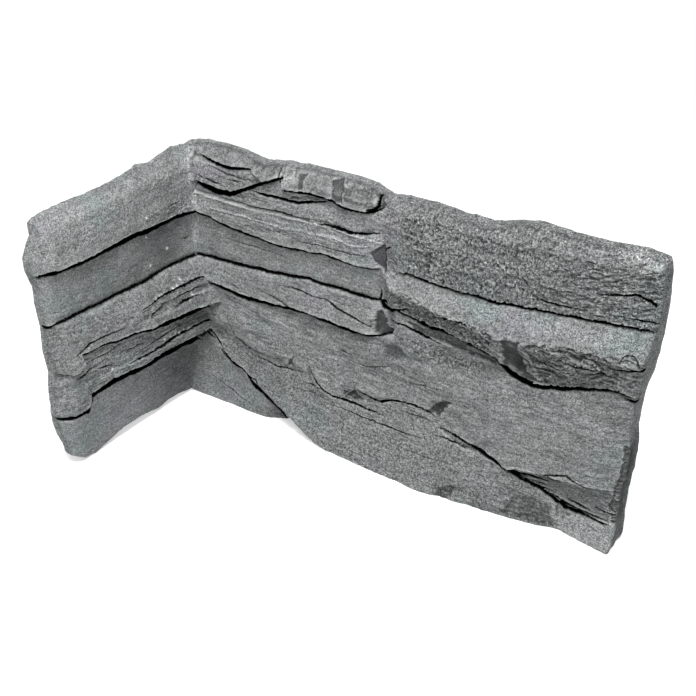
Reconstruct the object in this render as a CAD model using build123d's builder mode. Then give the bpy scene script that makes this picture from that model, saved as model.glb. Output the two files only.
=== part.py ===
from build123d import *

import os
from dataclasses import dataclass

# Driving dimensions, in millimetres. The origin is the outer back corner edge at the
# base. The long wing runs along +X and the short wing along -Y. The walls that the
# piece lines are the planes y = 0 and x = 0, and the stone faces look into the corner.
long_wing_length = 364.0
short_wing_length = 165.0
panel_height = 205.0
backing_thickness = 6.0
boldest_ledge = 30.0
joint_width = 1.8

# The panel that the relief below is laid out on, measured to the middle of the joints
# round it. The layout is stretched from these sizes to the driving dimensions.
layout_long_wing = 365.0
layout_short_wing = 166.0
layout_height = 206.0
layout_ledge = 30.0


@dataclass(frozen=True)
class Wing:
    """One leg of the corner. Its back plane's first axis runs along it and the second up.

    front is 1 where the stones lie on the side of the plane's normal, and -1 elsewhere.
    """

    back: Plane
    front: int
    stretch: float

    def flat(self, along, up):
        """A layout point on the wing's back plane."""
        return (along * self.stretch, up * (panel_height + joint_width / 2) / layout_height)

    def solid(self, along, up, proud):
        """A layout point that stands proud of the backing, in the part's own frame."""
        depth = backing_thickness + proud * boldest_ledge / layout_ledge
        return self.back.from_local_coords(Vector(*self.flat(along, up), self.front * depth))


long_wing = Wing(
    back=Plane(origin=(0, 0, 0), x_dir=(1, 0, 0), z_dir=(0, -1, 0)),
    front=1,
    stretch=(long_wing_length + joint_width / 2) / layout_long_wing)
short_wing = Wing(
    back=Plane(origin=(0, 0, 0), x_dir=(0, -1, 0), z_dir=(-1, 0, 0)),
    front=-1,
    stretch=(short_wing_length + joint_width / 2) / layout_short_wing)


@dataclass(frozen=True)
class Stone:
    """A stone of the relief: its outline as (along, up) and the facets dressing its face.

    A facet is three points (along, up, proud). The face is the innermost of its facets.
    """

    wing: Wing
    outline: tuple
    facets: tuple


def block(stone):
    """The stone as a block: its outline thickened from the back, then cut by its facets."""
    reach = backing_thickness + 2 * boldest_ledge
    with BuildPart() as blank:
        with BuildSketch(stone.wing.back):
            with BuildLine():
                Polyline(*[stone.wing.flat(*point) for point in stone.outline], close=True)
            make_face()
            offset(amount=-joint_width / 2, kind=Kind.ARC)
        extrude(amount=stone.wing.front * reach)
        for facet in stone.facets:
            first, second, third = [stone.wing.solid(*point) for point in facet]
            outward = (second - first).cross(third - first)
            if outward.dot(stone.wing.back.z_dir) * stone.wing.front < 0:
                outward = -outward
            split(bisect_by=Plane(origin=first, z_dir=outward), keep=Keep.BOTTOM)
    return blank.part


def backing(wing, outline):
    """The plate behind the stones of one wing."""
    with BuildPart() as plate:
        with BuildSketch(wing.back):
            with BuildLine():
                Polyline(*[wing.flat(*point) for point in outline], close=True)
            make_face()
        extrude(amount=wing.front * backing_thickness)
    return plate.part


# Bed joints of the long wing, each from the corner towards the free end.
cap_bed = ((0, 180), (21, 179), (38, 176), (52, 177), (63, 182), (78, 190), (97, 198))
block_bed = ((97, 190), (121, 192), (136, 191), (151, 189), (161, 189), (171, 191), (179, 196))
course_bed = ((0, 171), (40, 170), (75, 169), (100, 171), (130, 173), (150, 172), (165, 174), (179, 178))
band_top = ((0, 155), (15, 155), (30, 154), (40, 151), (60, 149), (92, 147), (120, 149), (132, 151),
            (157, 149), (181, 151))
band_bed = ((0, 118), (12, 119), (25, 121), (50, 122), (80, 124), (100, 126), (118, 129), (122, 128),
            (170, 128), (181, 130))
ledge_bed = ((0, 103), (41, 102), (65, 100), (85, 101), (105, 103), (124, 103), (144, 102), (179, 102),
             (188, 107))
rough_bed = ((190, 153), (200, 156), (227, 154), (262, 154), (282, 156), (301, 158), (331, 161),
             (351, 163), (365, 165))
nose_bed = ((188, 125), (208, 124), (238, 123), (253, 121), (265, 119), (273, 116), (283, 110),
            (290, 107), (302, 106), (314, 110), (332, 115), (348, 119), (359, 116))
slab_bed = ((0, 66), (26, 66), (47, 64), (62, 58), (82, 57), (100, 58), (122, 58), (126, 50), (132, 45),
            (142, 42), (152, 45), (162, 56), (179, 53), (192, 56), (204, 59), (215, 59), (225, 57),
            (238, 49), (265, 43), (285, 38))
wedge_top = ((285, 38), (292, 42), (322, 45), (342, 46), (360, 48))
wedge_bed = ((285, 38), (292, 35), (314, 28), (322, 26), (337, 23), (355, 22))
heel_top = ((0, 58), (24, 58), (29, 55), (36, 51), (42, 44), (49, 39), (58, 37), (65, 32), (73, 24),
            (83, 16), (92, 10), (99, 5))

# Bed joints of the short wing, each from the corner towards the free end.
short_cap_bed = ((0, 155), (20, 155), (38, 157), (48, 157), (68, 156), (78, 157), (103, 156), (128, 155),
                 (153, 156), (161, 156))
short_band_bed = ((0, 119), (20, 120), (35, 121), (48, 121), (60, 120), (75, 119), (100, 119), (140, 120),
                  (155, 121), (160, 121))
ledge_lip = ((0, 92), (32, 92), (67, 92), (84, 89), (96, 91), (113, 91), (127, 93), (142, 92))
strata_bed = ((0, 55), (19, 56), (34, 57), (45, 59), (55, 58), (65, 59), (89, 58), (103, 59),
              (121, 60), (130, 58), (136, 54))
end_bed = ((136, 54), (138, 46), (143, 44), (157, 44), (162, 45))

stones = {
    "cap": Stone(
        long_wing,
        ((0, 201), (11, 203), (32, 204), (59, 205), (72, 204), (86, 202), (97, 200)) + cap_bed[::-1],
        (((20, 200, 14), (60, 200, 14), (20, 180, 16)),
         ((20, 195, 14), (80, 196, 14), (40, 204, 3)))),
    "cap_block": Stone(
        long_wing,
        ((97, 203), (103, 206), (119, 205), (152, 206), (163, 206), (169, 204), (179, 199))
        + block_bed[::-1],
        (((100, 197, 14), (170, 197, 14), (130, 190, 15)),
         ((100, 197, 14), (170, 197, 14), (130, 206, 3)),
         ((172, 190, 14), (172, 206, 13), (179, 198, 7)))),
    "upper_course": Stone(
        long_wing,
        cap_bed + block_bed + course_bed[::-1],
        (((20, 178, 11), (170, 190, 11), (100, 170, 12)),)),
    "lower_course": Stone(
        long_wing,
        course_bed + band_top[::-1],
        (((20, 170, 14), (160, 172, 14), (100, 148, 13)),
         ((168, 160, 14), (168, 150, 14), (181, 160, 8)))),
    "dark_band": Stone(
        long_wing,
        band_top + band_bed[::-1],
        (((20, 155, 10), (170, 150, 10), (100, 127, 9)),)),
    "lower_ledge": Stone(
        long_wing,
        band_bed + ((184, 124),) + ledge_bed[::-1],
        (((20, 121, 11), (170, 128, 11), (100, 102, 18)),
         ((172, 125, 12), (172, 103, 18), (186, 108, 7)))),
    "rough_slab": Stone(
        long_wing,
        ((183, 200), (198, 202), (220, 201), (238, 199), (256, 199), (268, 202), (284, 206), (307, 204),
         (331, 204), (346, 206), (360, 203), (363, 197), (364, 184)) + rough_bed[::-1]
        + ((182, 153), (181, 165), (184, 185)),
        (((200, 195, 14), (350, 195, 14), (280, 156, 16)),
         ((200, 195, 14), (350, 197, 14), (280, 205, 3)),
         ((181, 195, 5), (181, 160, 6), (196, 180, 15)),
         ((350, 195, 14), (350, 170, 15), (365, 180, 10)))),
    "nose": Stone(
        long_wing,
        ((182, 151),) + rough_bed + ((364, 143), (363, 130)) + nose_bed[::-1]
        + ((184, 130), (180, 138), (180, 147)),
        (((200, 156, 12), (363, 165, 12), (279, 136, 28)),
         ((206, 143, 22), (262, 137, 27), (215, 124, 15)),
         ((285, 137, 27), (365, 145, 22), (300, 107, 15)),
         ((180, 130, 12), (180, 150, 12), (192, 140, 23)))),
    "main_slab": Stone(
        long_wing,
        ledge_bed + ((190, 118),) + nose_bed + ((359, 104), (359, 88), (361, 78), (361, 56))
        + wedge_top[::-1] + slab_bed[-2::-1],
        (((50, 98, 14), (290, 104, 14), (200, 58, 19)),
         ((346, 100, 14), (346, 50, 17), (362, 80, 10)))),
    "wedge": Stone(
        long_wing,
        wedge_top + ((359, 22),) + wedge_bed[:0:-1],
        (((290, 38, 16), (361, 46, 13), (340, 24, 13)),)),
    "belly": Stone(
        long_wing,
        slab_bed + wedge_bed[1:4] + ((319, 18), (322, 0), (99, 0)) + heel_top[::-1],
        (((150, 0, 28), (215, 0, 30), (130, 50, 18)),
         ((98, 0, 7), (133, 0, 24), (49, 39, 16)),
         ((234, 0, 29), (302, 0, 18), (285, 35, 19)),
         ((302, 0, 20), (322, 0, 12), (305, 30, 20)))),
    "heel": Stone(
        long_wing,
        heel_top + ((99, 0), (0, 0)),
        (((20, 50, 12), (22, 0, 18), (79, 0, 18)),
         ((79, 0, 18), (98, 0, 6), (80, 20, 16)))),
    "toe": Stone(
        long_wing,
        ((319, 18),) + wedge_bed[3:] + ((359, 21), (361, 6), (359, 0), (322, 0)),
        (((322, 0, 13), (356, 0, 18), (338, 22, 7)),)),
    "short_cap": Stone(
        short_wing,
        ((0, 201), (12, 200), (30, 201), (42, 203), (52, 201), (63, 198), (74, 200), (80, 198), (98, 195),
         (125, 194), (142, 194), (156, 192), (162, 189), (166, 180), (166, 171), (164, 163))
        + short_cap_bed[::-1],
        (((20, 190, 9), (150, 185, 9), (80, 157, 10)),
         ((20, 191, 9), (150, 185, 9), (80, 198, 1)),
         ((152, 190, 9), (152, 160, 10), (166, 176, 1)))),
    "short_dark_band": Stone(
        short_wing,
        short_cap_bed + short_band_bed[::-1],
        (((20, 155, 5), (150, 155, 5), (80, 121, 4)),
         ((154, 150, 5), (154, 125, 5), (162, 140, 1)))),
    "ledge": Stone(
        short_wing,
        short_band_bed + ((161, 100), (159, 82), (150, 78), (142, 84)) + ledge_lip[::-1],
        (((100, 121, 6), (20, 121, 6), (50, 92, 28)),
         ((148, 92, 12), (32, 92, 31), (148, 121, 6)),
         ((150, 110, 8), (150, 90, 11), (161, 100, 1)))),
    "ledge_strata": Stone(
        short_wing,
        ledge_lip + ((142, 84), (139, 62)) + strata_bed[::-1],
        (((32, 88, 21), (140, 88, 12), (60, 58, 16)),)),
    "end_block": Stone(
        short_wing,
        ((142, 84), (150, 78), (159, 82), (161, 68)) + end_bed[::-1] + ((139, 62),),
        (((140, 85, 11), (150, 85, 10), (145, 46, 9)),
         ((150, 85, 10), (150, 50, 9), (161, 65, 1)))),
    "short_base": Stone(
        short_wing,
        strata_bed + end_bed[1:] + ((162, 37), (160, 25), (156, 13), (155, 5), (149, 1), (138, 0),
                                    (128, 1), (107, 6), (91, 6), (75, 4), (64, 2), (52, 4), (35, 3), (29, 1),
                                    (0, 0)),
        (((20, 55, 7), (150, 45, 8), (80, 5, 1)),
         ((154, 45, 8), (147, 3, 1), (162, 42, 1)))),
}

long_backing = ((0, 0), (357, 0), (358, 30), (356, 92), (360, 110), (362, 165), (361, 185), (356, 195),
                (344, 200), (300, 200), (262, 195), (88, 195), (0, 196))
short_backing = ((0, 0), (29, 2), (36, 4), (52, 5), (64, 3), (75, 5), (91, 8), (107, 8), (128, 2), (138, 0),
                 (146, 2), (150, 13), (157, 40), (157, 100), (158, 150), (162, 172), (161, 180),
                 (154, 188), (98, 191), (52, 196), (0, 196))

with BuildPart() as corner_panel:
    add(backing(long_wing, long_backing))
    add(backing(short_wing, short_backing))
    for stone in stones.values():
        add(block(stone))

corner_panel.part.label = "corner_panel"

os.makedirs("parts", exist_ok=True)
export_step(corner_panel.part, "parts/corner_panel.step")
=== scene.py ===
import logging
import math
from dataclasses import dataclass, field
from enum import Enum

import bmesh
import bpy
import numpy as np
from mathutils import Matrix, Vector


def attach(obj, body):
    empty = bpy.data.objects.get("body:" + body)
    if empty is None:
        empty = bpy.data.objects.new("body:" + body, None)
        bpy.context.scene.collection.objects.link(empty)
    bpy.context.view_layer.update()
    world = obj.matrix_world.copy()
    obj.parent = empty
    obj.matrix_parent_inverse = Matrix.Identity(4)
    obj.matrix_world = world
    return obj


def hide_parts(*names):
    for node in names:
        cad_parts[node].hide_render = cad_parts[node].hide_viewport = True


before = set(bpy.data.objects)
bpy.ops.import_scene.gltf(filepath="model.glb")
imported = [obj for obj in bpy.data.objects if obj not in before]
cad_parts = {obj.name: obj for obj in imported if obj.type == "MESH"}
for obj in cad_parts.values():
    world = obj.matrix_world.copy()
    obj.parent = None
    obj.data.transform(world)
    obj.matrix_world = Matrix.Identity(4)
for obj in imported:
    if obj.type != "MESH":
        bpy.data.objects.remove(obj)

log = logging.getLogger("stone_corner")
MM = 0.001
FAR = 1e9

Line = tuple[tuple[float, float], ...]
Facet = tuple[tuple[float, float, float], ...]


class Leg(Enum):
    """The two legs of the corner panel."""

    LONG = "long"
    SHORT = "short"


@dataclass(frozen=True)
class Dressing:
    """How a stone's face is worked: the height in millimetres of each kind of relief."""

    swell: float = 0.5
    riven: float = 0.45
    grain: float = 0.16
    scales: float = 0.0
    lines: float = 0.14
    chips: float = 0.0
    creased: float = 0.5
    tone: float = 0.0


@dataclass(frozen=True)
class Stone:
    """One stone of the relief: outline (along, up) and facets of (along, up, proud)."""

    leg: Leg
    outline: Line
    facets: tuple[Facet, ...]
    dressing: Dressing = Dressing()


@dataclass(frozen=True)
class Bed:
    """A level joint between two stones. Its open widths are spread evenly along it."""

    line: Line
    widths: tuple[float, ...]
    depth: float = 8.0


@dataclass(frozen=True)
class Crack:
    """A crack read at the reading depth, painted black as its shadow, or a raised rib painted pale as
    a highlight if its depth is negative.
    """

    line: Line
    widths: tuple[float, ...]
    depth: float = 3.0


@dataclass(frozen=True)
class Scoop:
    """A shallow hollow, or a bump if its depth is negative, on a turned ellipse."""

    centre: tuple[float, float]
    radii: tuple[float, float]
    turn: float
    depth: float


@dataclass(frozen=True)
class Layer:
    """A part of a face: set back by an offset (forward if negative), painted paler or darker as light
    and shade by its tone, and roughened.

    A negative rough flattens the texture back towards the plain dressed face.
    """

    outline: Line
    offset: float = 0.0
    edge: float = 1.0
    tone: float = 0.0
    rough: float = 0.0


@dataclass(frozen=True)
class ShadingCloud:
    """A soft cloud of painted shade, or of painted light where its tone is positive, that stays on the
    stone under its centre.
    """

    centre: tuple[float, float]
    radii: tuple[float, float]
    tone: float


@dataclass(frozen=True)
class JointCut:
    """How the bed joints are cut and how far their painted shadow runs, in millimetres unless it is a
    share.
    """

    probe: float = 1.6
    hidden_most: float = 9.0
    depth_least: float = 0.8
    depth_share: float = 3.0
    sill_rise: float = 0.45
    sill_share: float = 0.4
    lip_extra: float = 0.3
    lip_least: float = 1.1
    lip_most: float = 6.0
    top_round: float = 0.4
    full_width: float = 0.45
    shut: float = 0.05
    floor_least: float = 2.5
    shade_start: float = 0.74
    shade_run: float = 0.9


JOINT_CUT = JointCut()

# Bed joints of the long leg, each from the corner towards the free end.
CAP_BED: Line = ((0, 180), (21, 179), (38, 176), (52, 177), (63, 182), (78, 190), (97, 198))
BLOCK_BED: Line = ((97, 190), (121, 192), (136, 191), (151, 189), (161, 189), (171, 191),
                   (179, 196))
COURSE_BED: Line = ((0, 171), (40, 170), (75, 169), (100, 171), (130, 173), (150, 172), (165, 174),
                    (179, 178))
BAND_TOP: Line = ((0, 155), (15, 155), (30, 154), (40, 151), (60, 149), (92, 147), (120, 149),
                  (132, 151), (157, 149), (181, 151))
BAND_BED: Line = ((0, 118), (12, 118.4), (25, 119.5), (50, 120.6), (80, 122.6), (100, 124.6),
                  (118, 127.3), (122, 126.3), (170, 126.4), (181, 128))
LEDGE_BED: Line = ((0, 103), (41, 102), (65, 100), (85, 101), (105, 103), (124, 103), (144, 102),
                   (179, 102), (188, 107))
ROUGH_BED: Line = ((190, 153), (200, 156), (227, 154), (262, 154), (282, 156), (301, 158),
                   (331, 161), (351, 163), (365, 163))
NOSE_BED: Line = ((188, 125), (208, 124), (238, 123), (253, 121), (265, 118.5), (273, 115),
                  (283, 108.6), (290, 105.5), (302, 104.8), (314, 108.5), (332, 114), (348, 118.5),
                  (359, 116))
SLAB_BED: Line = ((0, 66), (26, 66), (47, 64), (62, 58), (82, 57), (100, 58), (122, 58), (126, 50),
                  (132, 45), (142, 42), (152, 45), (162, 56), (179, 53), (192, 56), (204, 59),
                  (215, 59), (225, 57), (238, 49), (265, 43), (285, 38))
WEDGE_TOP: Line = ((285, 38), (292, 42), (322, 45), (342, 46), (360, 48))
WEDGE_BED: Line = ((285, 38), (292, 35), (314, 28), (322, 26), (337, 23), (355, 22))
HEEL_TOP: Line = ((0, 58), (24, 58), (29, 55), (36, 51), (42, 44), (49, 39), (58, 37), (65, 32),
                  (73, 24), (83, 16), (92, 10), (99, 5))

# Bed joints of the short leg, each from the corner towards the free end.
SHORT_CAP_BED: Line = ((0, 155), (20, 155), (38, 157), (48, 157), (68, 156), (78, 157), (103, 156),
                       (128, 155), (153, 156), (161, 156))
SHORT_BAND_BED: Line = ((0, 117.5), (20, 118.4), (35, 119.4), (48, 119.4), (60, 118.6), (75, 117.5),
                        (100, 117.4), (140, 118), (152, 118.3), (160, 116.5))
LEDGE_LIP: Line = ((0, 87.5), (20, 86.5), (32, 88.2), (50, 89), (67, 88.6), (84, 89), (96, 91),
                   (113, 91), (127, 92), (142, 91.5))
STRATA_BED: Line = ((0, 58), (19, 58.5), (34, 58.3), (45, 59), (55, 58), (65, 58.4), (89, 56.6),
                    (103, 57.2), (121, 57.4), (130, 56), (136, 54))
END_BED: Line = ((136, 54), (138, 46), (143, 44), (157, 44), (162, 45))

LAYERED = Dressing(swell=0.6, riven=0.8, grain=0.12, lines=0.36, creased=1.0, tone=0.1)

STONES: tuple[Stone, ...] = (
    Stone(
        Leg.LONG,
        ((0, 201), (11, 203), (32, 204), (59, 205), (72, 204), (86, 202), (97, 200)) + CAP_BED[::-1],
        (((20, 200, 14), (60, 200, 14), (20, 180, 16)),
         ((20, 195, 14), (80, 196, 14), (40, 204, 3))),
        Dressing(swell=0.78, riven=0.48, lines=0.17)),
    Stone(
        Leg.LONG,
        ((97, 203), (103, 206), (119, 205), (152, 206), (163, 206), (169, 204), (179, 199))
        + BLOCK_BED[::-1],
        (((100, 197, 14), (170, 197, 14), (130, 190, 15)),
         ((100, 197, 14), (170, 197, 14), (130, 206, 3)),
         ((172, 190, 14), (172, 206, 13), (179, 198, 10))),
        Dressing(swell=1.04, riven=0.36, grain=0.12)),
    Stone(
        Leg.LONG,
        CAP_BED + BLOCK_BED + COURSE_BED[::-1],
        (((20, 178, 11), (170, 190, 11), (100, 170, 12)),),
        Dressing(swell=0.6, riven=0.7, grain=0.1, lines=0.2, creased=0.6, tone=0.3)),
    Stone(
        Leg.LONG,
        COURSE_BED + BAND_TOP[::-1],
        (((20, 170, 14), (160, 172, 14), (100, 148, 13)),
         ((170, 160, 14), (170, 150, 14), (181, 160, 9))),
        Dressing(swell=0.65, riven=0.55, grain=0.1, lines=0.24, tone=0.34)),
    Stone(
        Leg.LONG,
        BAND_TOP + BAND_BED[::-1],
        (((20, 155, 10), (170, 150, 10), (100, 127, 9)),),
        Dressing(swell=0.52, riven=0.2, grain=0.07, lines=0.16, tone=0.1)),
    Stone(
        Leg.LONG,
        BAND_BED + ((184, 124),) + LEDGE_BED[::-1],
        (((20, 121, 11), (170, 128, 11), (100, 102, 18)),
         ((172, 125, 12), (172, 103, 18), (186, 108, 7))),
        Dressing(swell=0.65, riven=0.4, grain=0.1, lines=0.24)),
    Stone(
        Leg.LONG,
        ((179, 200), (198, 202), (220, 201), (238, 199), (256, 199), (268, 202), (284, 206),
         (307, 204), (331, 204), (346, 206), (360, 203), (363, 197), (364, 184)) + ROUGH_BED[::-1]
        + ((179, 153), (178, 165), (179, 185), (179, 199)),
        (((200, 195, 14), (350, 195, 14), (280, 156, 16)),
         ((200, 195, 14), (350, 197, 14), (280, 205, 3)),
         ((180, 195, 10), (180, 160, 10), (195, 180, 15)),
         ((350, 195, 14), (350, 170, 15), (365, 180, 10))),
        Dressing(swell=0.91, riven=0.48, grain=0.22, scales=1.16, lines=0.21, tone=0.14)),
    Stone(
        Leg.LONG,
        ((182, 151),) + ROUGH_BED + ((364, 143), (363, 130)) + NOSE_BED[::-1]
        + ((184, 130), (180, 138), (180, 147)),
        (((200, 156, 12), (363, 165, 12), (279, 136, 28)),
         ((206, 143, 22), (262, 137, 27), (215, 124, 15)),
         ((285, 137, 27), (365, 145, 22), (300, 107, 15)),
         ((180, 130, 12), (180, 150, 12), (192, 140, 23))),
        Dressing(swell=1.17, riven=0.84, grain=0.18, chips=1.12)),
    Stone(
        Leg.LONG,
        LEDGE_BED + ((190, 118),) + NOSE_BED + ((359, 104), (359, 88), (361, 78), (361, 56))
        + WEDGE_TOP[::-1] + SLAB_BED[-2::-1],
        (((50, 98, 14), (290, 104, 14), (200, 58, 19)),
         ((346, 100, 14), (346, 50, 17), (362, 80, 10))),
        Dressing(swell=1.3, riven=0.6, grain=0.12, lines=0.24)),
    Stone(
        Leg.LONG,
        WEDGE_TOP + ((359, 22),) + WEDGE_BED[:0:-1],
        (((290, 38, 16), (361, 46, 13), (340, 24, 13)),),
        LAYERED),
    Stone(
        Leg.LONG,
        SLAB_BED + WEDGE_BED[1:4] + ((319, 18), (322, 0), (99, 0)) + HEEL_TOP[::-1],
        (((150, 0, 28), (215, 0, 30), (130, 50, 18)),
         ((98, 0, 7), (133, 0, 24), (49, 39, 16)),
         ((234, 0, 29), (302, 0, 18), (285, 35, 19)),
         ((302, 0, 20), (322, 0, 12), (305, 30, 20))),
        Dressing(swell=1.04, riven=0.29, grain=0.24, lines=0.11)),
    Stone(
        Leg.LONG,
        HEEL_TOP + ((99, 0), (0, 0)),
        (((20, 50, 12), (22, 0, 18), (79, 0, 18)),
         ((79, 0, 18), (98, 0, 6), (80, 20, 16))),
        Dressing(swell=0.91, riven=0.36, grain=0.1, lines=0.06, tone=-0.1)),
    Stone(
        Leg.LONG,
        ((319, 18),) + WEDGE_BED[3:] + ((359, 21), (361, 6), (359, 0), (322, 0)),
        (((322, 0, 13), (356, 0, 18), (338, 22, 10)),),
        Dressing(swell=0.52, riven=0.36, grain=0.12, tone=0.08)),
    Stone(
        Leg.SHORT,
        ((0, 201), (12, 200), (30, 201), (42, 203), (52, 201), (63, 198), (74, 200), (80, 198),
         (98, 195), (125, 194), (142, 194), (156, 192), (162, 189), (166, 180), (166, 171), (164, 163))
        + SHORT_CAP_BED[::-1],
        (((20, 190, 9), (150, 185, 9), (80, 157, 10)),
         ((20, 191, 9), (150, 185, 9), (80, 198, 1)),
         ((152, 190, 9), (152, 160, 10), (166, 176, 1))),
        Dressing(swell=0.8, riven=0.26, grain=0.1, lines=0.06, tone=0.34)),
    Stone(
        Leg.SHORT,
        SHORT_CAP_BED + SHORT_BAND_BED[::-1],
        (((20, 155, 5), (150, 155, 5), (80, 121, 4)),
         ((154, 150, 5), (154, 125, 5), (162, 140, 1))),
        Dressing(swell=0.4, riven=0.12, grain=0.06, lines=0.1, tone=0.24)),
    Stone(
        Leg.SHORT,
        SHORT_BAND_BED + ((161, 100), (159, 82), (150, 78), (142, 84)) + LEDGE_LIP[::-1],
        (((100, 121, 6), (20, 121, 6), (50, 92, 28)),
         ((148, 92, 12), (32, 92, 31), (148, 121, 6)),
         ((150, 110, 8), (150, 90, 11), (161, 100, 1))),
        Dressing(swell=0.78, riven=0.96, grain=0.18, lines=0.21)),
    Stone(
        Leg.SHORT,
        LEDGE_LIP + ((142, 84), (139, 62)) + STRATA_BED[::-1],
        (((32, 88, 21), (140, 88, 12), (60, 58, 16)),),
        LAYERED),
    Stone(
        Leg.SHORT,
        ((142, 84), (150, 78), (159, 82), (161, 68)) + END_BED[::-1] + ((139, 62),),
        (((140, 85, 11), (150, 85, 10), (145, 46, 9)),
         ((150, 85, 10), (150, 50, 9), (161, 65, 1))),
        Dressing(swell=1.04, riven=0.72, grain=0.18, lines=0.04)),
    Stone(
        Leg.SHORT,
        STRATA_BED + END_BED[1:] + ((162, 37), (160, 25), (156, 13), (155, 5), (149, 1), (138, 0),
                                    (128, 1), (107, 6), (91, 6), (75, 4), (64, 2), (52, 4), (35, 3),
                                    (29, 1), (0, 0)),
        (((20, 55, 7), (150, 45, 8), (80, 5, 1)),
         ((154, 45, 8), (147, 3, 1), (162, 42, 1))),
        Dressing(swell=0.65, riven=0.2, grain=0.08, lines=0.13, tone=0.06)),
)

BEDS: dict[Leg, tuple[Bed, ...]] = {
    Leg.LONG: (
        Bed(CAP_BED, (0.0, 0.7, 2.9, 3.1, 2.2, 1.5, 0.6)),
        Bed(BLOCK_BED, (0.5, 0.6, 0.9, 1.3, 1.2, 0.0)),
        Bed(BAND_TOP, (0.8, 0.65, 0.6, 0.6, 0.55, 0.55, 0.5, 0.0)),
        Bed(BAND_BED, (0.6, 1.0, 1.1, 1.2, 0.8, 0.9, 0.7)),
        Bed(LEDGE_BED, (0.0, 0.9, 2.3, 1.8, 1.6, 1.8, 0.3)),
        Bed(ROUGH_BED, (0.2, 0.7, 1.2, 1.4, 1.0, 0.7, 0.3)),
        Bed(NOSE_BED, (0.4, 0.7, 0.5, 0.6, 2.5, 2.3, 1.1, 0.0)),
        Bed(WEDGE_BED, (0.2, 0.3, 0.3, 0.3, 0.2)),
        Bed(HEEL_TOP, (0.0, 0.2, 1.2, 1.2, 1.4, 1.8, 2.6)),
    ),
    Leg.SHORT: (
        Bed(SHORT_CAP_BED, (1.4, 2.3, 2.8, 3.0, 2.5, 1.8, 0.8)),
        Bed(SHORT_BAND_BED, (0.6, 0.5, 0.5, 0.55, 0.65, 0.6)),
        Bed(LEDGE_LIP, (1.2, 1.4, 1.7, 1.8, 0.9, 0.6, 0.4)),
        Bed(STRATA_BED, (5.2, 5.2, 4.9, 4.6, 4.3, 3.4)),
        Bed(END_BED, (1.0, 1.5, 1.5, 0.7)),
    ),
}

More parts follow.
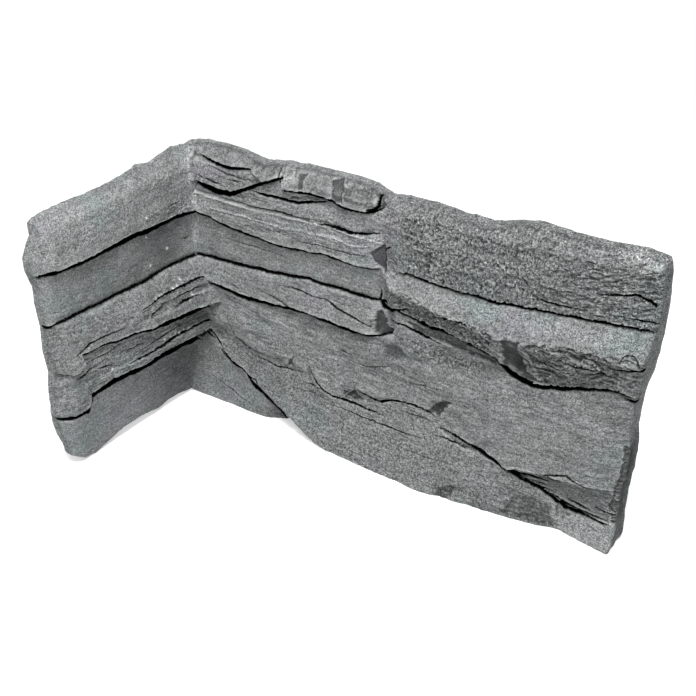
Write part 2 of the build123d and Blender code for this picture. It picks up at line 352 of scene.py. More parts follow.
CRACKS: dict[Leg, tuple[Crack, ...]] = {
    Leg.LONG: (
        # The cap, its block and the layered course under them.
        Crack(((23, 198), (30, 196.6), (38, 194.4), (45, 194), (52, 194), (60, 196), (68, 196.8)),
              (0.8, 1.6, 2.7, 2.5, 1.8, 0.8), 4.0),
        Crack(((165, 190.2), (170, 191.2), (173.2, 194.5), (174.2, 199), (173.4, 204)),
              (1.2, 1.4, 1.4, 1.0, 0.5), 3.0),
        Crack(((95.3, 190), (95, 197), (95.5, 206)), (0.8, 0.7, 0.5), 1.5),
        Crack(((18.5, 182.4), (22, 180.8)), (0.3, 0.7, 0.3)),
        Crack(((24, 180.8), (28, 180.4), (33, 179.4), (38, 179.6)), (0.4, 1.0, 0.9, 0.3)),
        Crack(((67, 182.3), (80, 181.5), (92, 182), (103, 181.8), (112, 183.3), (124, 186),
              (133, 188)), (0.3, 1.4, 2.0, 2.0, 1.6, 1.2, 0.5)),
        Crack(((125, 172.2), (140, 172), (153, 172), (165, 173.5), (175, 176.5)),
              (0.3, 0.9, 1.1, 0.9, 0.5)),
        Crack(((47, 170.8), (70, 170.2), (100, 172), (125, 172.2)), (0.3, 0.6, 0.6, 0.4), 0.9),
        # The next two are raised ribs, painted pale as highlights.
        Crack(((25, 168), (60, 168.8), (100, 170.6), (140, 170.8), (178, 170.8)),
              (1.0, 1.2, 1.2, 1.2, 1.0), -0.7),
        Crack(((30, 160.5), (60, 160.8), (100, 161), (125, 163), (142, 164), (150, 161.5),
              (166, 164)), (0.8, 1.0, 1.2, 1.2, 0.8), -0.6),
        Crack(((28, 192.5), (36, 190), (55, 188.5), (72, 187.5)), (0.3, 0.6, 0.5, 0.3), 0.8),
        Crack(((45, 185), (60, 186)), (0.3, 0.6, 0.3), 0.7),
        Crack(((105, 153), (125, 156), (150, 155.5), (168, 158)), (0.3, 0.6, 0.5, 0.3), 0.8),
        Crack(((38, 139.5), (70, 140), (100, 139)), (0.3, 0.5, 0.3), 0.6),
        # The ledge course.
        Crack(((92, 115), (110, 117), (120, 115), (132, 115.5), (145, 111), (160, 108),
              (172, 106.5)), (0.3, 0.6, 0.6, 0.6, 0.8, 0.7, 0.5), 1.0),
        Crack(((40, 105), (55, 102)), (0.3, 0.5, 0.3), 0.7),
        Crack(((70, 107), (90, 103), (112, 101)), (0.3, 0.6, 0.3), 0.8),
        # The slab, its swirl and its long cracks.
        Crack(((42, 80), (41, 72), (43, 66), (48, 61), (56, 57), (64, 55), (84, 54)),
              (0.2, 0.4, 0.5, 0.6, 0.6, 0.5, 0.3), 0.9),
        Crack(((62, 49), (75, 49), (88, 46.3), (95, 48), (112, 49)), (0.2, 0.5, 0.8, 0.6, 0.3),
              1.0),
        Crack(((117, 57), (119.5, 51), (124, 45), (129, 41.5), (138, 38.7), (150, 38.5),
              (165, 38.3), (182, 38)), (0.4, 0.9, 1.1, 1.3, 1.5, 1.2, 0.8, 0.4), 2.2),
        Crack(((112, 42), (130, 41)), (0.3, 0.6, 0.3), 0.8),
        Crack(((160, 51.3), (166, 50), (172, 48.7), (180, 48.7), (187, 52), (196, 54.8), (206, 56),
              (214, 54.8), (226, 52)), (0.4, 1.2, 1.6, 1.4, 1.2, 1.1, 1.0, 0.7, 0.3), 2.0),
        Crack(((228, 46), (240, 43.5), (250, 41.3), (262, 38), (272, 34.3), (282, 31.5), (292, 30),
              (304, 27), (316, 23), (325, 20.2), (340, 19.3), (353, 18.2)),
              (0.4, 1.0, 1.5, 2.2, 2.4, 2.0, 1.6, 1.6, 2.0, 1.9, 1.4, 0.8), 3.0),
        Crack(((284, 32), (292, 33.6), (300, 34.6), (313, 35.2)), (0.4, 1.0, 0.9, 0.3), 1.2),
        Crack(((299, 31.5), (313, 32)), (0.3, 0.7, 0.3), 0.9),
        Crack(((298, 29.5), (316, 27.5)), (0.3, 0.7, 0.3), 0.9),
        Crack(((290, 36.5), (305, 40), (322, 43), (340, 44), (352, 44.6)),
              (0.3, 0.6, 0.7, 0.6, 0.3), 0.9),
        Crack(((326, 26.5), (333, 25.8), (341, 24.4)), (0.5, 1.0, 0.4), 1.5),
        Crack(((344, 28.5), (350, 27.6), (357, 27.2)), (0.5, 1.0, 0.4), 1.5),
        Crack(((130, 31), (160, 30.3), (200, 30.5), (220, 32)), (0.3, 0.6, 0.7, 0.3), 0.9),
        Crack(((196, 47.5), (210, 48.5), (226, 49)), (0.3, 0.6, 0.3), 0.8),
        Crack(((222, 38.3), (240, 39), (256, 38)), (0.3, 0.7, 0.3), 0.9),
        Crack(((100, 34), (120, 35), (140, 33)), (0.3, 0.5, 0.3), 0.6),
        Crack(((190, 17.5), (215, 16), (240, 19)), (0.3, 0.5, 0.3), 0.7),
        Crack(((160, 72), (172, 75), (186, 79)), (0.3, 0.6, 0.3), 0.8),
        Crack(((143, 80), (156, 80)), (0.3, 0.6, 0.3), 0.8),
        Crack(((192, 71), (210, 73), (232, 77.5)), (0.3, 0.5, 0.3), 0.6),
        # The heel.
        Crack(((18, 54.6), (24, 52.3), (28, 51.2)), (1.0, 1.0, 0.3), 1.6),
        Crack(((32, 45), (37, 39.5), (43, 35.9), (50, 35.4), (56, 34.3), (61, 31), (66, 26.5),
              (71, 22), (76, 18), (83, 14), (91, 10), (97, 7), (103, 5.5)),
              (0.8, 1.4, 1.6, 1.6, 1.6, 1.7, 1.8, 1.9, 2.0, 2.5, 3.2), 4.0),
        Crack(((22, 17), (42, 9), (60, 3)), (0.3, 0.6, 0.4), 0.8),
        # The rough slab and the nose.
        Crack(((325, 176), (338, 178.5), (350, 181.7), (354, 181), (361, 178.6)),
              (0.3, 0.7, 1.0, 1.2, 1.0), 1.6),
        Crack(((280, 160.5), (300, 162), (320, 163)), (0.3, 0.8, 0.5), 1.0),
        Crack(((340, 165.5), (352, 167), (366, 168.5)), (0.4, 0.7, 0.6), 1.2),
        Crack(((180, 166), (185, 169.5)), (0.4, 0.8, 0.3), 1.2),
        Crack(((178.3, 137), (178, 129), (180.5, 124.5), (186, 123.5), (193, 126), (198, 127.3)),
              (0.4, 1.4, 2.4, 1.8, 1.2, 0.5), 3.0),
        Crack(((222, 128.3), (230, 129.8), (238, 130), (245, 128)), (0.4, 1.2, 1.4, 0.5), 2.5),
        Crack(((205, 125), (212, 123)), (0.5, 1.0, 0.4), 1.5),
        Crack(((207, 121), (220, 120.3), (235, 120), (241, 118.2)), (0.8, 2.4, 2.4, 1.4), 3.0),
        Crack(((236, 118.5), (246, 116.2), (256, 117)), (0.6, 1.4, 0.6), 2.0),
        Crack(((247, 119), (258, 118.5), (268, 114), (275, 109)), (0.4, 1.2, 1.2, 0.4), 2.0),
        Crack(((187, 116), (195, 115.5), (205, 113.5), (215, 112), (226, 110.5)),
              (0.5, 1.2, 1.4, 1.0, 0.4), 2.0),
        Crack(((340, 130.3), (350, 131.5), (357, 134.5), (365, 138.6)), (0.4, 0.9, 1.0, 0.9), 1.8),
        Crack(((346, 136), (347, 140), (350, 142.8), (354, 142.5), (356.5, 140), (357, 137.5),
              (360, 137)), (0.3, 0.6, 0.7, 0.6, 0.3), 0.9),
        Crack(((310, 124.5), (318, 123.5), (326, 126), (334, 126.5)), (0.3, 0.7, 0.8, 0.3), 1.2),
        Crack(((323, 131.5), (329, 132.5), (336, 129)), (0.3, 0.6, 0.3), 0.8),
        Crack(((285, 120), (300, 119.5), (316, 118.5)), (0.3, 0.7, 0.3), 1.0),
        Crack(((323, 121.5), (335, 124), (346, 125)), (0.3, 0.7, 0.3), 1.0),
        Crack(((290, 115), (310, 115.5)), (0.3, 0.6, 0.3), 0.8),
        Crack(((351, 114), (356, 113.2), (362, 113.8)), (0.4, 1.2, 1.0), 2.5),
    ),
    Leg.SHORT: (
        # The short leg, from the cap down.
        Crack(((48, 160.3), (42, 159.8), (33, 160.6)), (0.2, 0.5, 0.2), 0.8),
        Crack(((46, 165), (38, 165.4), (30, 165)), (0.2, 0.6, 0.2), 0.8),
        Crack(((46, 163.5), (38, 163), (31, 163.4)), (0.2, 0.4, 0.2), 0.6),
        Crack(((33, 136), (27, 134.8), (22, 135.6)), (0.3, 0.6, 0.3), 1.0),
        Crack(((166, 131), (155, 127.5), (146, 124.5)), (0.2, 0.4, 0.2), 0.6),
        Crack(((80, 96.5), (70, 97.2), (62, 99), (50, 99.6), (30, 98.6), (16, 98.3), (3, 97)),
              (0.3, 0.9, 1.4, 1.5, 1.4, 1.2, 0.6), 2.2),
        Crack(((48, 93.5), (62, 91)), (0.3, 0.6, 0.3), 0.8),
        Crack(((68, 86), (62, 88.5), (55, 90)), (0.5, 1.0, 0.4), 1.3),
        Crack(((40, 91), (25, 90.5), (10, 89)), (0.3, 0.8, 0.3), 1.0),
        Crack(((45, 83), (25, 83.5), (10, 82)), (0.3, 0.8, 0.3), 1.0),
        Crack(((145, 88.5), (135, 89.5), (128, 92), (112, 91), (95, 89.5)), (0.3, 0.8, 0.7, 0.3),
              1.0),
        Crack(((97, 60), (85, 59.4), (70, 58.5), (55, 59.6), (40, 61), (25, 59.6), (5, 58)),
              (0.3, 0.9, 1.4, 1.6, 1.6, 1.4, 1.0), 3.0),
        Crack(((143, 70), (137, 70.4), (131, 73)), (0.4, 1.3, 0.9), 2.0),
        Crack(((132, 53), (133, 47), (137, 42.5)), (2.0, 2.0, 1.8), 4.0),
        Crack(((32, 50), (20, 49), (10, 49), (6, 51)), (2.6, 2.8, 2.4, 1.0), 5.0),
        Crack(((100, 72), (90, 70.5), (78, 70.3)), (0.3, 0.8, 0.3), 1.0),
        Crack(((130, 78.5), (112, 77.5), (100, 79)), (0.3, 0.7, 0.3), 0.9),
        Crack(((110, 66), (118, 68), (126, 70.5)), (0.3, 0.8, 0.3), 1.0),
        Crack(((85, 65), (60, 66), (35, 68)), (0.3, 0.7, 0.3), 0.8),
    ),
}

LAYERS: dict[Leg, tuple[Layer, ...]] = {
    Leg.LONG: (
        # The cap: the recessed lens, the rough right end, and the hollow under it, painted darker as
        # shade.
        Layer(((16, 201), (23, 199), (38, 195), (50, 194.5), (67, 198), (80, 191), (63, 181),
              (52, 176), (38, 175), (18, 179)), 2.4, 1.6, 0.12, 0.15),
        Layer(((68, 208), (93, 207), (94, 197), (82, 193), (70, 197)), 0.0, 4.0, -0.2, 0.4),
        Layer(((47, 174.5), (58, 178), (68, 182), (76, 180), (74, 172), (60, 171)),
              0.8, 2.5, -0.25, 0.3),
        # The block: its left facet painted pale as lit, two hollows and its end painted darker as
        # shade, and the rough right part.
        Layer(((95.5, 190), (95.5, 209), (108, 209), (110, 197), (114, 190)), -0.5, 1.8, 0.36, 0.2),
        Layer(((107.5, 204.5), (118, 205), (115, 200), (117.5, 190), (111.5, 190), (109.5, 197)),
              1.0, 1.6, -0.62),
        Layer(((117, 204), (135, 204), (138, 190), (118, 190)), 0.5, 3.0, -0.14, 0.3),
        Layer(((134, 204.5), (146, 208), (147.5, 200), (146.5, 190), (138.5, 190), (137, 198)),
              1.3, 1.4, -0.62, -0.6),
        Layer(((147, 191), (147, 204), (171, 207), (172, 192)), 0.5, 1.6, -0.36, 0.6),
        Layer(((171, 207), (179.5, 211), (180, 197), (176, 191), (171, 190.5), (173, 197)),
              1.2, 1.4, -0.85, -0.5),
        Layer(((100, 183), (115, 185), (128, 188), (133, 189.5), (118, 190), (105, 187)),
              0.9, 1.2, -0.42),
        # The course under it, its end facet painted darker as shade, and the pale flank that its end
        # dies into.
        Layer(((60, 151), (60, 158), (100, 160), (140, 162.5), (168, 161), (172, 152), (110, 150)),
              0.3, 3.0, -0.07, 0.45),
        Layer(((181, 173), (181, 147), (175, 153), (167, 160.5)), 1.0, 1.2, -1.0, -1.0),
        Layer(((178, 206), (190, 206), (188, 172), (179, 172)), 0.0, 4.0, 0.1, 0.2),
        Layer(((180, 171), (188, 168), (191, 160), (190, 155), (180, 152)), 0.4, 3.0, -0.26, 0.5),
        # The rough slab, its upward chamfer and top corner painted pale as lit.
        Layer(((205, 172), (217, 174), (217, 168), (215, 157), (211, 157), (211, 165)),
              1.0, 2.5, -0.42, 0.3),
        Layer(((236, 203), (300, 204.5), (345, 203), (350, 216), (236, 216)), 0.0, 2.0, 0.36),
        Layer(((332, 204), (348, 200), (361, 197), (366, 214), (334, 216)), 0.0, 1.5, 1.3, 0.9),
        Layer(((296, 202), (362, 197), (364, 164), (290, 158)), 0.0, 10.0, -0.14),
        # The nose: its upper face painted pale as lit, its broken lip, and the hollows under it
        # painted darker as shade.
        Layer(((180, 141), (215, 137), (245, 135), (245, 150), (200, 152), (181, 150)),
              0.0, 4.0, 0.2, -0.7),
        Layer(((243, 135), (300, 136), (340, 140), (364, 144), (364, 160), (300, 154), (243, 149)),
              0.0, 4.0, 0.2, -0.6),
        Layer(((179, 140), (190, 141), (197, 135), (196, 128), (180, 127)), 0.2, 3.0, 0.06, 1.0),
        Layer(((190, 137), (215, 136), (230, 132), (245, 133), (264, 129), (264, 117), (240, 119),
              (210, 122), (190, 127)), 0.7, 2.5, 0.25, 1.5),
        Layer(((196, 119.5), (235, 119.5), (262, 115), (272, 110), (262, 108.5), (235, 111),
              (208, 112.5)), 1.5, 1.5, -0.45, 0.3),
        Layer(((266, 127), (272, 130), (280.5, 129), (282, 120), (288, 112), (298, 106), (283, 102),
              (272, 109)), 1.2, 3.0, -0.8, -0.8),
        Layer(((280, 124), (290, 122), (318, 116), (300, 106), (286, 106), (276, 112)),
              0.0, 6.0, -0.2),
        Layer(((280, 128), (300, 132.5), (312, 134.5), (335, 137), (347, 133), (347, 116),
              (320, 109), (300, 105)), 1.0, 1.2, -0.24, 0.7),
        Layer(((318, 124), (322, 131), (330, 132), (336, 128), (334, 124), (325, 122)),
              -1.8, 1.0, 0.35, 0.8),
        Layer(((298, 133), (304, 134), (309, 128), (304, 122), (297, 126)), -1.2, 1.0, 0.15, 0.8),
        Layer(((346, 134), (363, 138), (362, 115), (346, 117)), 0.4, 1.5, -0.04),
        # The ledge's end painted darker as shade, and the slab: its pits, its hollows painted darker
        # as shade, its lips painted pale as lit, and painted light where the nose shades it.
        Layer(((173, 120), (179, 122), (183, 117), (186, 111), (190, 106), (179, 99.5), (173, 102)),
              1.4, 1.8, -0.74, -1.0),
        Layer(((187, 111), (235, 111), (262, 108), (262, 97), (228, 90), (203, 92)),
              0.0, 5.0, 0.1, 1.3),
        Layer(((178, 97), (192, 99), (203, 92), (188, 83), (180, 85)), 1.6, 4.0, -0.4, -1.0),
        Layer(((97, 51.5), (99, 58), (105, 61), (104, 52)), 1.4, 1.5, -0.25),
        Layer(((105, 50), (106, 60), (117, 61), (117, 51)), -0.8, 2.0, 0.12, 0.2),
        Layer(((60, 75), (110, 85), (125, 60), (85, 52), (55, 60)), 0.0, 6.0, 0.06, 0.5),
        Layer(((142, 39), (148, 48), (158, 52.5), (167, 46), (162, 39.5)), 1.0, 4.0, -0.95, -0.5),
        Layer(((158, 52), (162, 61), (185, 59), (187, 53), (175, 49.5), (165, 51)),
              -0.7, 2.5, 0.22),
        Layer(((118, 50), (122, 60), (152, 60), (150, 52), (142, 42), (126, 42)), -0.4, 4.0, 0.16),
        Layer(((214, 53), (228, 52), (238, 70), (229, 69), (220, 60)), 1.3, 3.0, -0.75),
        Layer(((235, 50), (238, 72), (256, 78), (258, 50)), 0.0, 4.0, 0.08, 0.4),
        Layer(((150, -10), (260, -8), (290, 25), (200, 31), (150, 28)), 0.0, 12.0, 0.04, 0.45),
        Layer(((222, -12), (244, -12), (249, 4), (240, 5), (229, -3)), 1.0, 5.0, -0.75),
        Layer(((276, -6), (320, 0), (317.5, 18), (300, 20), (284, 12)), 0.6, 4.0, -0.62),
        Layer(((258, 8), (276, 20), (300, 25), (317, 21), (296, 14), (276, 4)), 0.0, 5.0, -0.24),
        Layer(((250, -10), (320, -2), (318, 3), (260, -1)), 0.0, 3.0, -0.3),
        Layer(((236, 103), (262, 100), (300, 98), (350, 106), (358, 96), (300, 82), (240, 86)),
              0.0, 8.0, 0.16),
        Layer(((20, 96), (110, 94), (122, 62), (60, 60), (24, 66)), 0.0, 10.0, 0.14),
        # The heel under the end of the short leg's strata, painted black as their shadow.
        Layer(((4, 38.5), (10, 44.4), (15, 49), (19.5, 53.6), (24, 55), (24, 66), (4, 66)),
              1.0, 0.7, -0.97),
        # The wedge, the toe painted pale as lit, and the broken right end painted darker as shade.
        Layer(((286, 33), (300, 38.5), (325, 43), (354, 45), (355, 20), (325, 21), (300, 29)),
              0.3, 1.5, -0.44, -0.5),
        Layer(((298, 37.5), (310, 40), (322, 41.5), (318, 36), (302, 35)), 0.3, 1.0, -0.3),
        Layer(((319, 16), (352, 17.5), (358, 8), (357, -6), (322, 0), (317, 8)),
              -0.3, 1.5, 0.22, 0.2),
        Layer(((356, 82), (366, 82), (366, 18), (355, 20), (352, 34), (356, 60)),
              0.8, 1.5, -0.72, 0.7),
    ),
    Leg.SHORT: (
        # The short leg: rough cap, band, layered ledge and strata; the strata painted paler against
        # their shade, their corner end painted darker as shade.
        Layer(((3, 202), (165, 196), (166, 158), (3, 156)), 0.0, 5.0, 0.02, 0.2),
        Layer(((22, 168), (60, 168), (62, 156), (22, 155)), 0.0, 3.0, -0.1, 0.6),
        Layer(((100, 196), (164, 190), (162, 166), (100, 170)), 0.0, 10.0, 0.08),
        Layer(((80, 96.5), (70, 97), (62, 99), (50, 99.5), (30, 98.5), (3, 97), (0, 84), (60, 84),
              (76, 87)), 1.8, 1.2, 0.0, 0.5),
        Layer(((70, 90), (48, 93), (5, 91), (3, 75), (45, 76), (66, 77)), 1.2, 1.0, -0.06, 0.4),
        Layer(((130, 86), (100, 81), (80, 78), (60, 74), (3, 72), (3, 62), (80, 61), (128, 60)),
              0.4, 1.0, 0.3, 0.4),
        Layer(((46, 75), (3, 75), (3, 58), (46, 60)), 0.0, 5.0, -0.55),
        Layer(((97, 60), (85, 59.4), (70, 58.5), (55, 59.6), (40, 61), (3, 58), (3, 50), (97, 51)),
              -1.0, 0.8, 0.12, 0.3),
    ),
}

SHADING_CLOUDS: dict[Leg, tuple[ShadingCloud, ...]] = {
    Leg.SHORT: (
        # Painted shade on the band and the lower stone, towards the corner, then painted shade and
        # light on the cap.
        ShadingCloud((50, 138), (21, 40), -0.52),
        ShadingCloud((90, 138), (40, 40), -0.14),
        ShadingCloud((46, 28), (27, 60), -0.6),
        ShadingCloud((20, 68), (22, 9), -0.4),
        ShadingCloud((42, 191), (30, 20), -0.32),
        ShadingCloud((112, 182), (26, 14), 0.08),
    ),
    Leg.LONG: (
        # Painted shade on the long leg's slab, heel and cap, and a little painted light on its ledge.
        ShadingCloud((170, 80), (42, 15), -0.3),
        ShadingCloud((225, 66), (34, 14), -0.12),
        ShadingCloud((60, 40), (40, 16), -0.1),
        ShadingCloud((84, 5), (16, 9), -0.3),
        ShadingCloud((60, 108), (70, 9), 0.08),
        ShadingCloud((82, 205), (13, 12), -0.16),
    ),
}

# White grains of sand that show on the short leg, as (along, up).
WHITE_GRAINS: Line = ((65.5, 164), (66.5, 149.5), (47, 134), (66, 127), (60, 101.3), (43, 100.8),
                      (37, 105.5), (20, 85.3), (110, 62), (57, 63), (64, 100.6), (57, 100.4),
                      (45, 101.2), (40, 100.6), (51, 63), (46, 63.4), (42, 62.6), (37, 63.2),
                      (31, 62), (66, 88), (25, 83.4))

# Lines of the long leg along which one face runs softly into the next, with their reach.
SOFT_LINES: tuple[tuple[Line, float], ...] = (
    (((180, 134), (180, 204)), 6.5),
    (((321, -4), (321, 19)), 3.5),
    (((8, 70), (26, 66), (47, 64), (62, 58), (100, 58), (120, 58)), 6.0),
    (((181, 126), (186, 118), (190, 110)), 4.0),
)

SCOOPS: dict[Leg, tuple[Scoop, ...]] = {
    Leg.LONG: (
        Scoop((280, 116), (13, 9), -0.5, 3.0),
        Scoop((151, 47), (8, 5), 0.2, 2.0),
        Scoop((226, 60), (9, 6), 0.0, 1.6),
        Scoop((189, 91), (11, 6), 0.0, 1.4),
        Scoop((351, 139), (4, 3), 0.0, 1.2),
    ),
    Leg.SHORT: (),
}


class Noise:
    """Seeded smooth noise on a plane, from about -1 to 1."""

    size: int = 4096
    gain: float = 1.6
    scatter: float = 0.42

    def __init__(self, seed: int) -> None:
        """Shuffle the lattice.

        Args:
            seed: number that the lattice is shuffled from.
        """
        rng = np.random.default_rng(seed)
        turns = np.arange(self.size) * (2 * math.pi / self.size)
        self.order = rng.permutation(self.size)
        self.east = np.cos(turns)
        self.north = np.sin(turns)

    def hashed(self, column: np.ndarray, row: np.ndarray) -> np.ndarray:
        """Return the lattice number of each cell."""
        return self.order[(self.order[column % self.size] + row) % self.size]

    def at(self, x: np.ndarray, y: np.ndarray) -> np.ndarray:
        """Return the noise at points.

        Args:
            x: first coordinates, one wave to a unit.
            y: second coordinates.

        Returns:
            One value to a point.
        """
        column = np.floor(x).astype(np.int64)
        row = np.floor(y).astype(np.int64)
        dx = x - column
        dy = y - row
        ease_x = dx * dx * dx * (dx * (dx * 6 - 15) + 10)
        ease_y = dy * dy * dy * (dy * (dy * 6 - 15) + 10)

        def corner(right: int, up: int) -> np.ndarray:
            """Return the slope of one lattice corner, followed to the points."""
            number = self.hashed(column + right, row + up)
            return self.east[number] * (dx - right) + self.north[number] * (dy - up)

        low = corner(0, 0) * (1 - ease_x) + corner(1, 0) * ease_x
        high = corner(0, 1) * (1 - ease_x) + corner(1, 1) * ease_x
        return (low * (1 - ease_y) + high * ease_y) * self.gain

    def waves(self, x: np.ndarray, y: np.ndarray, octaves: int = 3,
              fall: float = 0.5) -> np.ndarray:
        """Return noise summed over octaves, each half the size of the one before."""
        total = np.zeros_like(x)
        share = 1.0
        for octave in range(octaves):
            total += share * self.at(x * 2 ** octave + 17.3 * octave,
                                     y * 2 ** octave + 9.1 * octave)
            share *= fall
        return total

    def cells(self, x: np.ndarray, y: np.ndarray) -> tuple[np.ndarray, np.ndarray]:
        """Return the distance to the nearest scattered point, and that point's own number.

        Args:
            x: first coordinates, one cell to a unit.
            y: second coordinates.

        Returns:
            Distances, and numbers from 0 to 1.
        """
        column = np.floor(x).astype(np.int64)
        row = np.floor(y).astype(np.int64)
        nearest = np.full(x.shape, FAR)
        owner = np.zeros(x.shape)
        for right in (-1, 0, 1):
            for up in (-1, 0, 1):
                number = self.hashed(column + right, row + up)
                px = column + right + 0.5 + self.scatter * self.east[number]
                py = row + up + 0.5 + self.scatter * self.north[number]
                gap = np.hypot(x - px, y - py)
                closer = gap < nearest
                nearest = np.where(closer, gap, nearest)
                owner = np.where(closer, number / self.size, owner)
        return nearest, owner


def ease(value: np.ndarray, low: float, high: float) -> np.ndarray:
    """Return a smooth step from 0 at low to 1 at high."""
    share = np.clip((value - low) / (high - low), 0.0, 1.0)
    return share * share * (3 - 2 * share)


def blur(sheet: np.ndarray, sigma: float) -> np.ndarray:
    """Return a grid of heights smoothed by a bell of sigma cells."""
    reach = max(1, int(3 * sigma))
    taps = np.exp(-0.5 * (np.arange(-reach, reach + 1) / sigma) ** 2)
    taps /= taps.sum()
    for axis in (0, 1):
        pad = [(0, 0), (0, 0)]
        pad[axis] = (reach, reach)
        wide = np.pad(sheet, pad, mode="edge")
        out = np.zeros_like(sheet)
        length = sheet.shape[axis]
        for shift, tap in enumerate(taps):
            out += tap * np.take(wide, range(shift, shift + length), axis=axis)
        sheet = out
    return sheet


def outside(x: np.ndarray, y: np.ndarray, outline: Line) -> np.ndarray:
    """Return the distance of points from an outline, negative inside it."""
    points = np.array(outline, dtype=float)
    ends = np.roll(points, -1, axis=0)
    nearest = np.full(x.shape, FAR)
    inside = np.zeros(x.shape, dtype=bool)
    for (ax, ay), (bx, by) in zip(points, ends):
        length = (bx - ax) ** 2 + (by - ay) ** 2
        if length == 0:
            continue
        share = np.clip(((x - ax) * (bx - ax) + (y - ay) * (by - ay)) / length, 0, 1)
        nearest = np.minimum(nearest, (x - ax - share * (bx - ax)) ** 2
                             + (y - ay - share * (by - ay)) ** 2)
        if ay != by:
            crossing = (bx - ax) * (y - ay) / (by - ay) + ax
            inside ^= ((ay > y) != (by > y)) & (x < crossing)
    return np.where(inside, -1, 1) * np.sqrt(nearest)


def along_line(x: np.ndarray, y: np.ndarray,
               line: np.ndarray) -> tuple[np.ndarray, np.ndarray]:
    """Return the distance of points from a line, and the share of it where it is nearest."""
    spans = np.hypot(*np.diff(line, axis=0).T)
    marks = np.concatenate(([0.0], np.cumsum(spans))) / spans.sum()
    nearest = np.full(x.shape, FAR)
    place = np.zeros(x.shape)
    for start, end, first, last in zip(line[:-1], line[1:], marks[:-1], marks[1:]):
        step = end - start
        run = (x - start[0]) * step[0] + (y - start[1]) * step[1]
        share = np.clip(run / step.dot(step), 0, 1)
        gap = np.hypot(x - start[0] - share * step[0], y - start[1] - share * step[1])
        closer = gap < nearest
        nearest = np.where(closer, gap, nearest)
        place = np.where(closer, first + share * (last - first), place)
    return nearest, place


@dataclass
class Relief:
    """The stones' relief as a height over each leg's back plane, in millimetres."""

    backing: float = 6.0
    plain_proud: float = 8.0
    margin: float = 9.0
    sharpness: float = 1.6
    reading_depth: dict[Leg, float] = field(
        default_factory=lambda: {Leg.LONG: 18.0, Leg.SHORT: 12.0})
    eye: tuple[float, float, float] = (512.8, 554.4, 448.0)
    corner_round: float = 2.5

    def __post_init__(self) -> None:
        """Seed the noises."""
        self.bend = Noise(11)
        self.coarse = Noise(23)
        self.fine = Noise(37)
        self.flakes = Noise(41)
        self.scale_cells = Noise(59)

    def seen_from(self, leg: Leg) -> tuple[float, float]:
        """Return the eye's distance from a leg's back plane, and its distance along the leg."""
        return self.eye[1::-1] if leg is Leg.LONG else self.eye[:2]

    def sight(self, leg: Leg, up: np.ndarray) -> np.ndarray:
        """Return how far a sight line drops for each millimetre that it goes in."""
        level, _ = self.seen_from(leg)
        return (self.eye[2] - up) / level

    def drift(self, leg: Leg, along: np.ndarray) -> np.ndarray:
        """Return how far a sight line runs to the corner for each millimetre that it goes in."""
        level, across = self.seen_from(leg)
        return (across - along) / level

    def face(self, leg: Leg, along: np.ndarray,
             up: np.ndarray) -> tuple[np.ndarray, np.ndarray]:
        """Find the plain dressed face, before joints and texture.

        Args:
            leg: the leg that the points are on.
            along: distances from the corner.
            up: heights over the base.

        Returns:
            The height of the face over the back plane, and the number of the stone there.
        """
        nearest = np.full(along.shape, FAR)
        owner = np.zeros(along.shape, dtype=np.int64)
        height = np.full(along.shape, self.backing + self.plain_proud)
        for number, stone in enumerate(STONES):
            if stone.leg is not leg:
                continue
            corners = np.array(stone.outline, dtype=float)
            low, high = corners.min(axis=0) - self.margin, corners.max(axis=0) + self.margin
            near = (along > low[0]) & (along < high[0]) & (up > low[1]) & (up < high[1])
            if not near.any():
                continue
            x, y = along[near], up[near]
            gap = outside(x, y, stone.outline)
            proud = self.dressed(stone, x, y)
            closer = gap < nearest[near]
            nearest[near] = np.where(closer, gap, nearest[near])
            owner[near] = np.where(closer, number, owner[near])
            height[near] = np.where(closer, self.backing + proud, height[near])
        return height, owner

    def dressed(self, stone: Stone, x: np.ndarray, y: np.ndarray) -> np.ndarray:
        """Return the innermost of a stone's facets, with its arrises a little softened."""
        total = np.zeros(x.shape)
        for facet in stone.facets:
            (ax, ay, at), (bx, by, bt), (cx, cy, ct) = facet
            normal = np.cross((bx - ax, by - ay, bt - at), (cx - ax, cy - ay, ct - at))
            plane = at - (normal[0] * (x - ax) + normal[1] * (y - ay)) / normal[2]
            total += np.exp(-self.sharpness * np.clip(plane, -20, 60))
        return -np.log(total) / self.sharpness

    def settle(self, leg: Leg, line: Line) -> np.ndarray:
        """Slide a line from the depth that it was read at, along the sight lines, to the face."""
        readings = np.array(line, dtype=float)
        x, y = readings.T
        level, across = self.seen_from(leg)
        start = self.reading_depth[leg]
        along, up = x.copy(), y.copy()
        for _ in range(4):
            height, _ = self.face(leg, along, up)
            share = (height - start) / (level - start)
            along = x + share * (across - x)
            up = y + share * (self.eye[2] - y)
        return np.stack([along, up], axis=1)


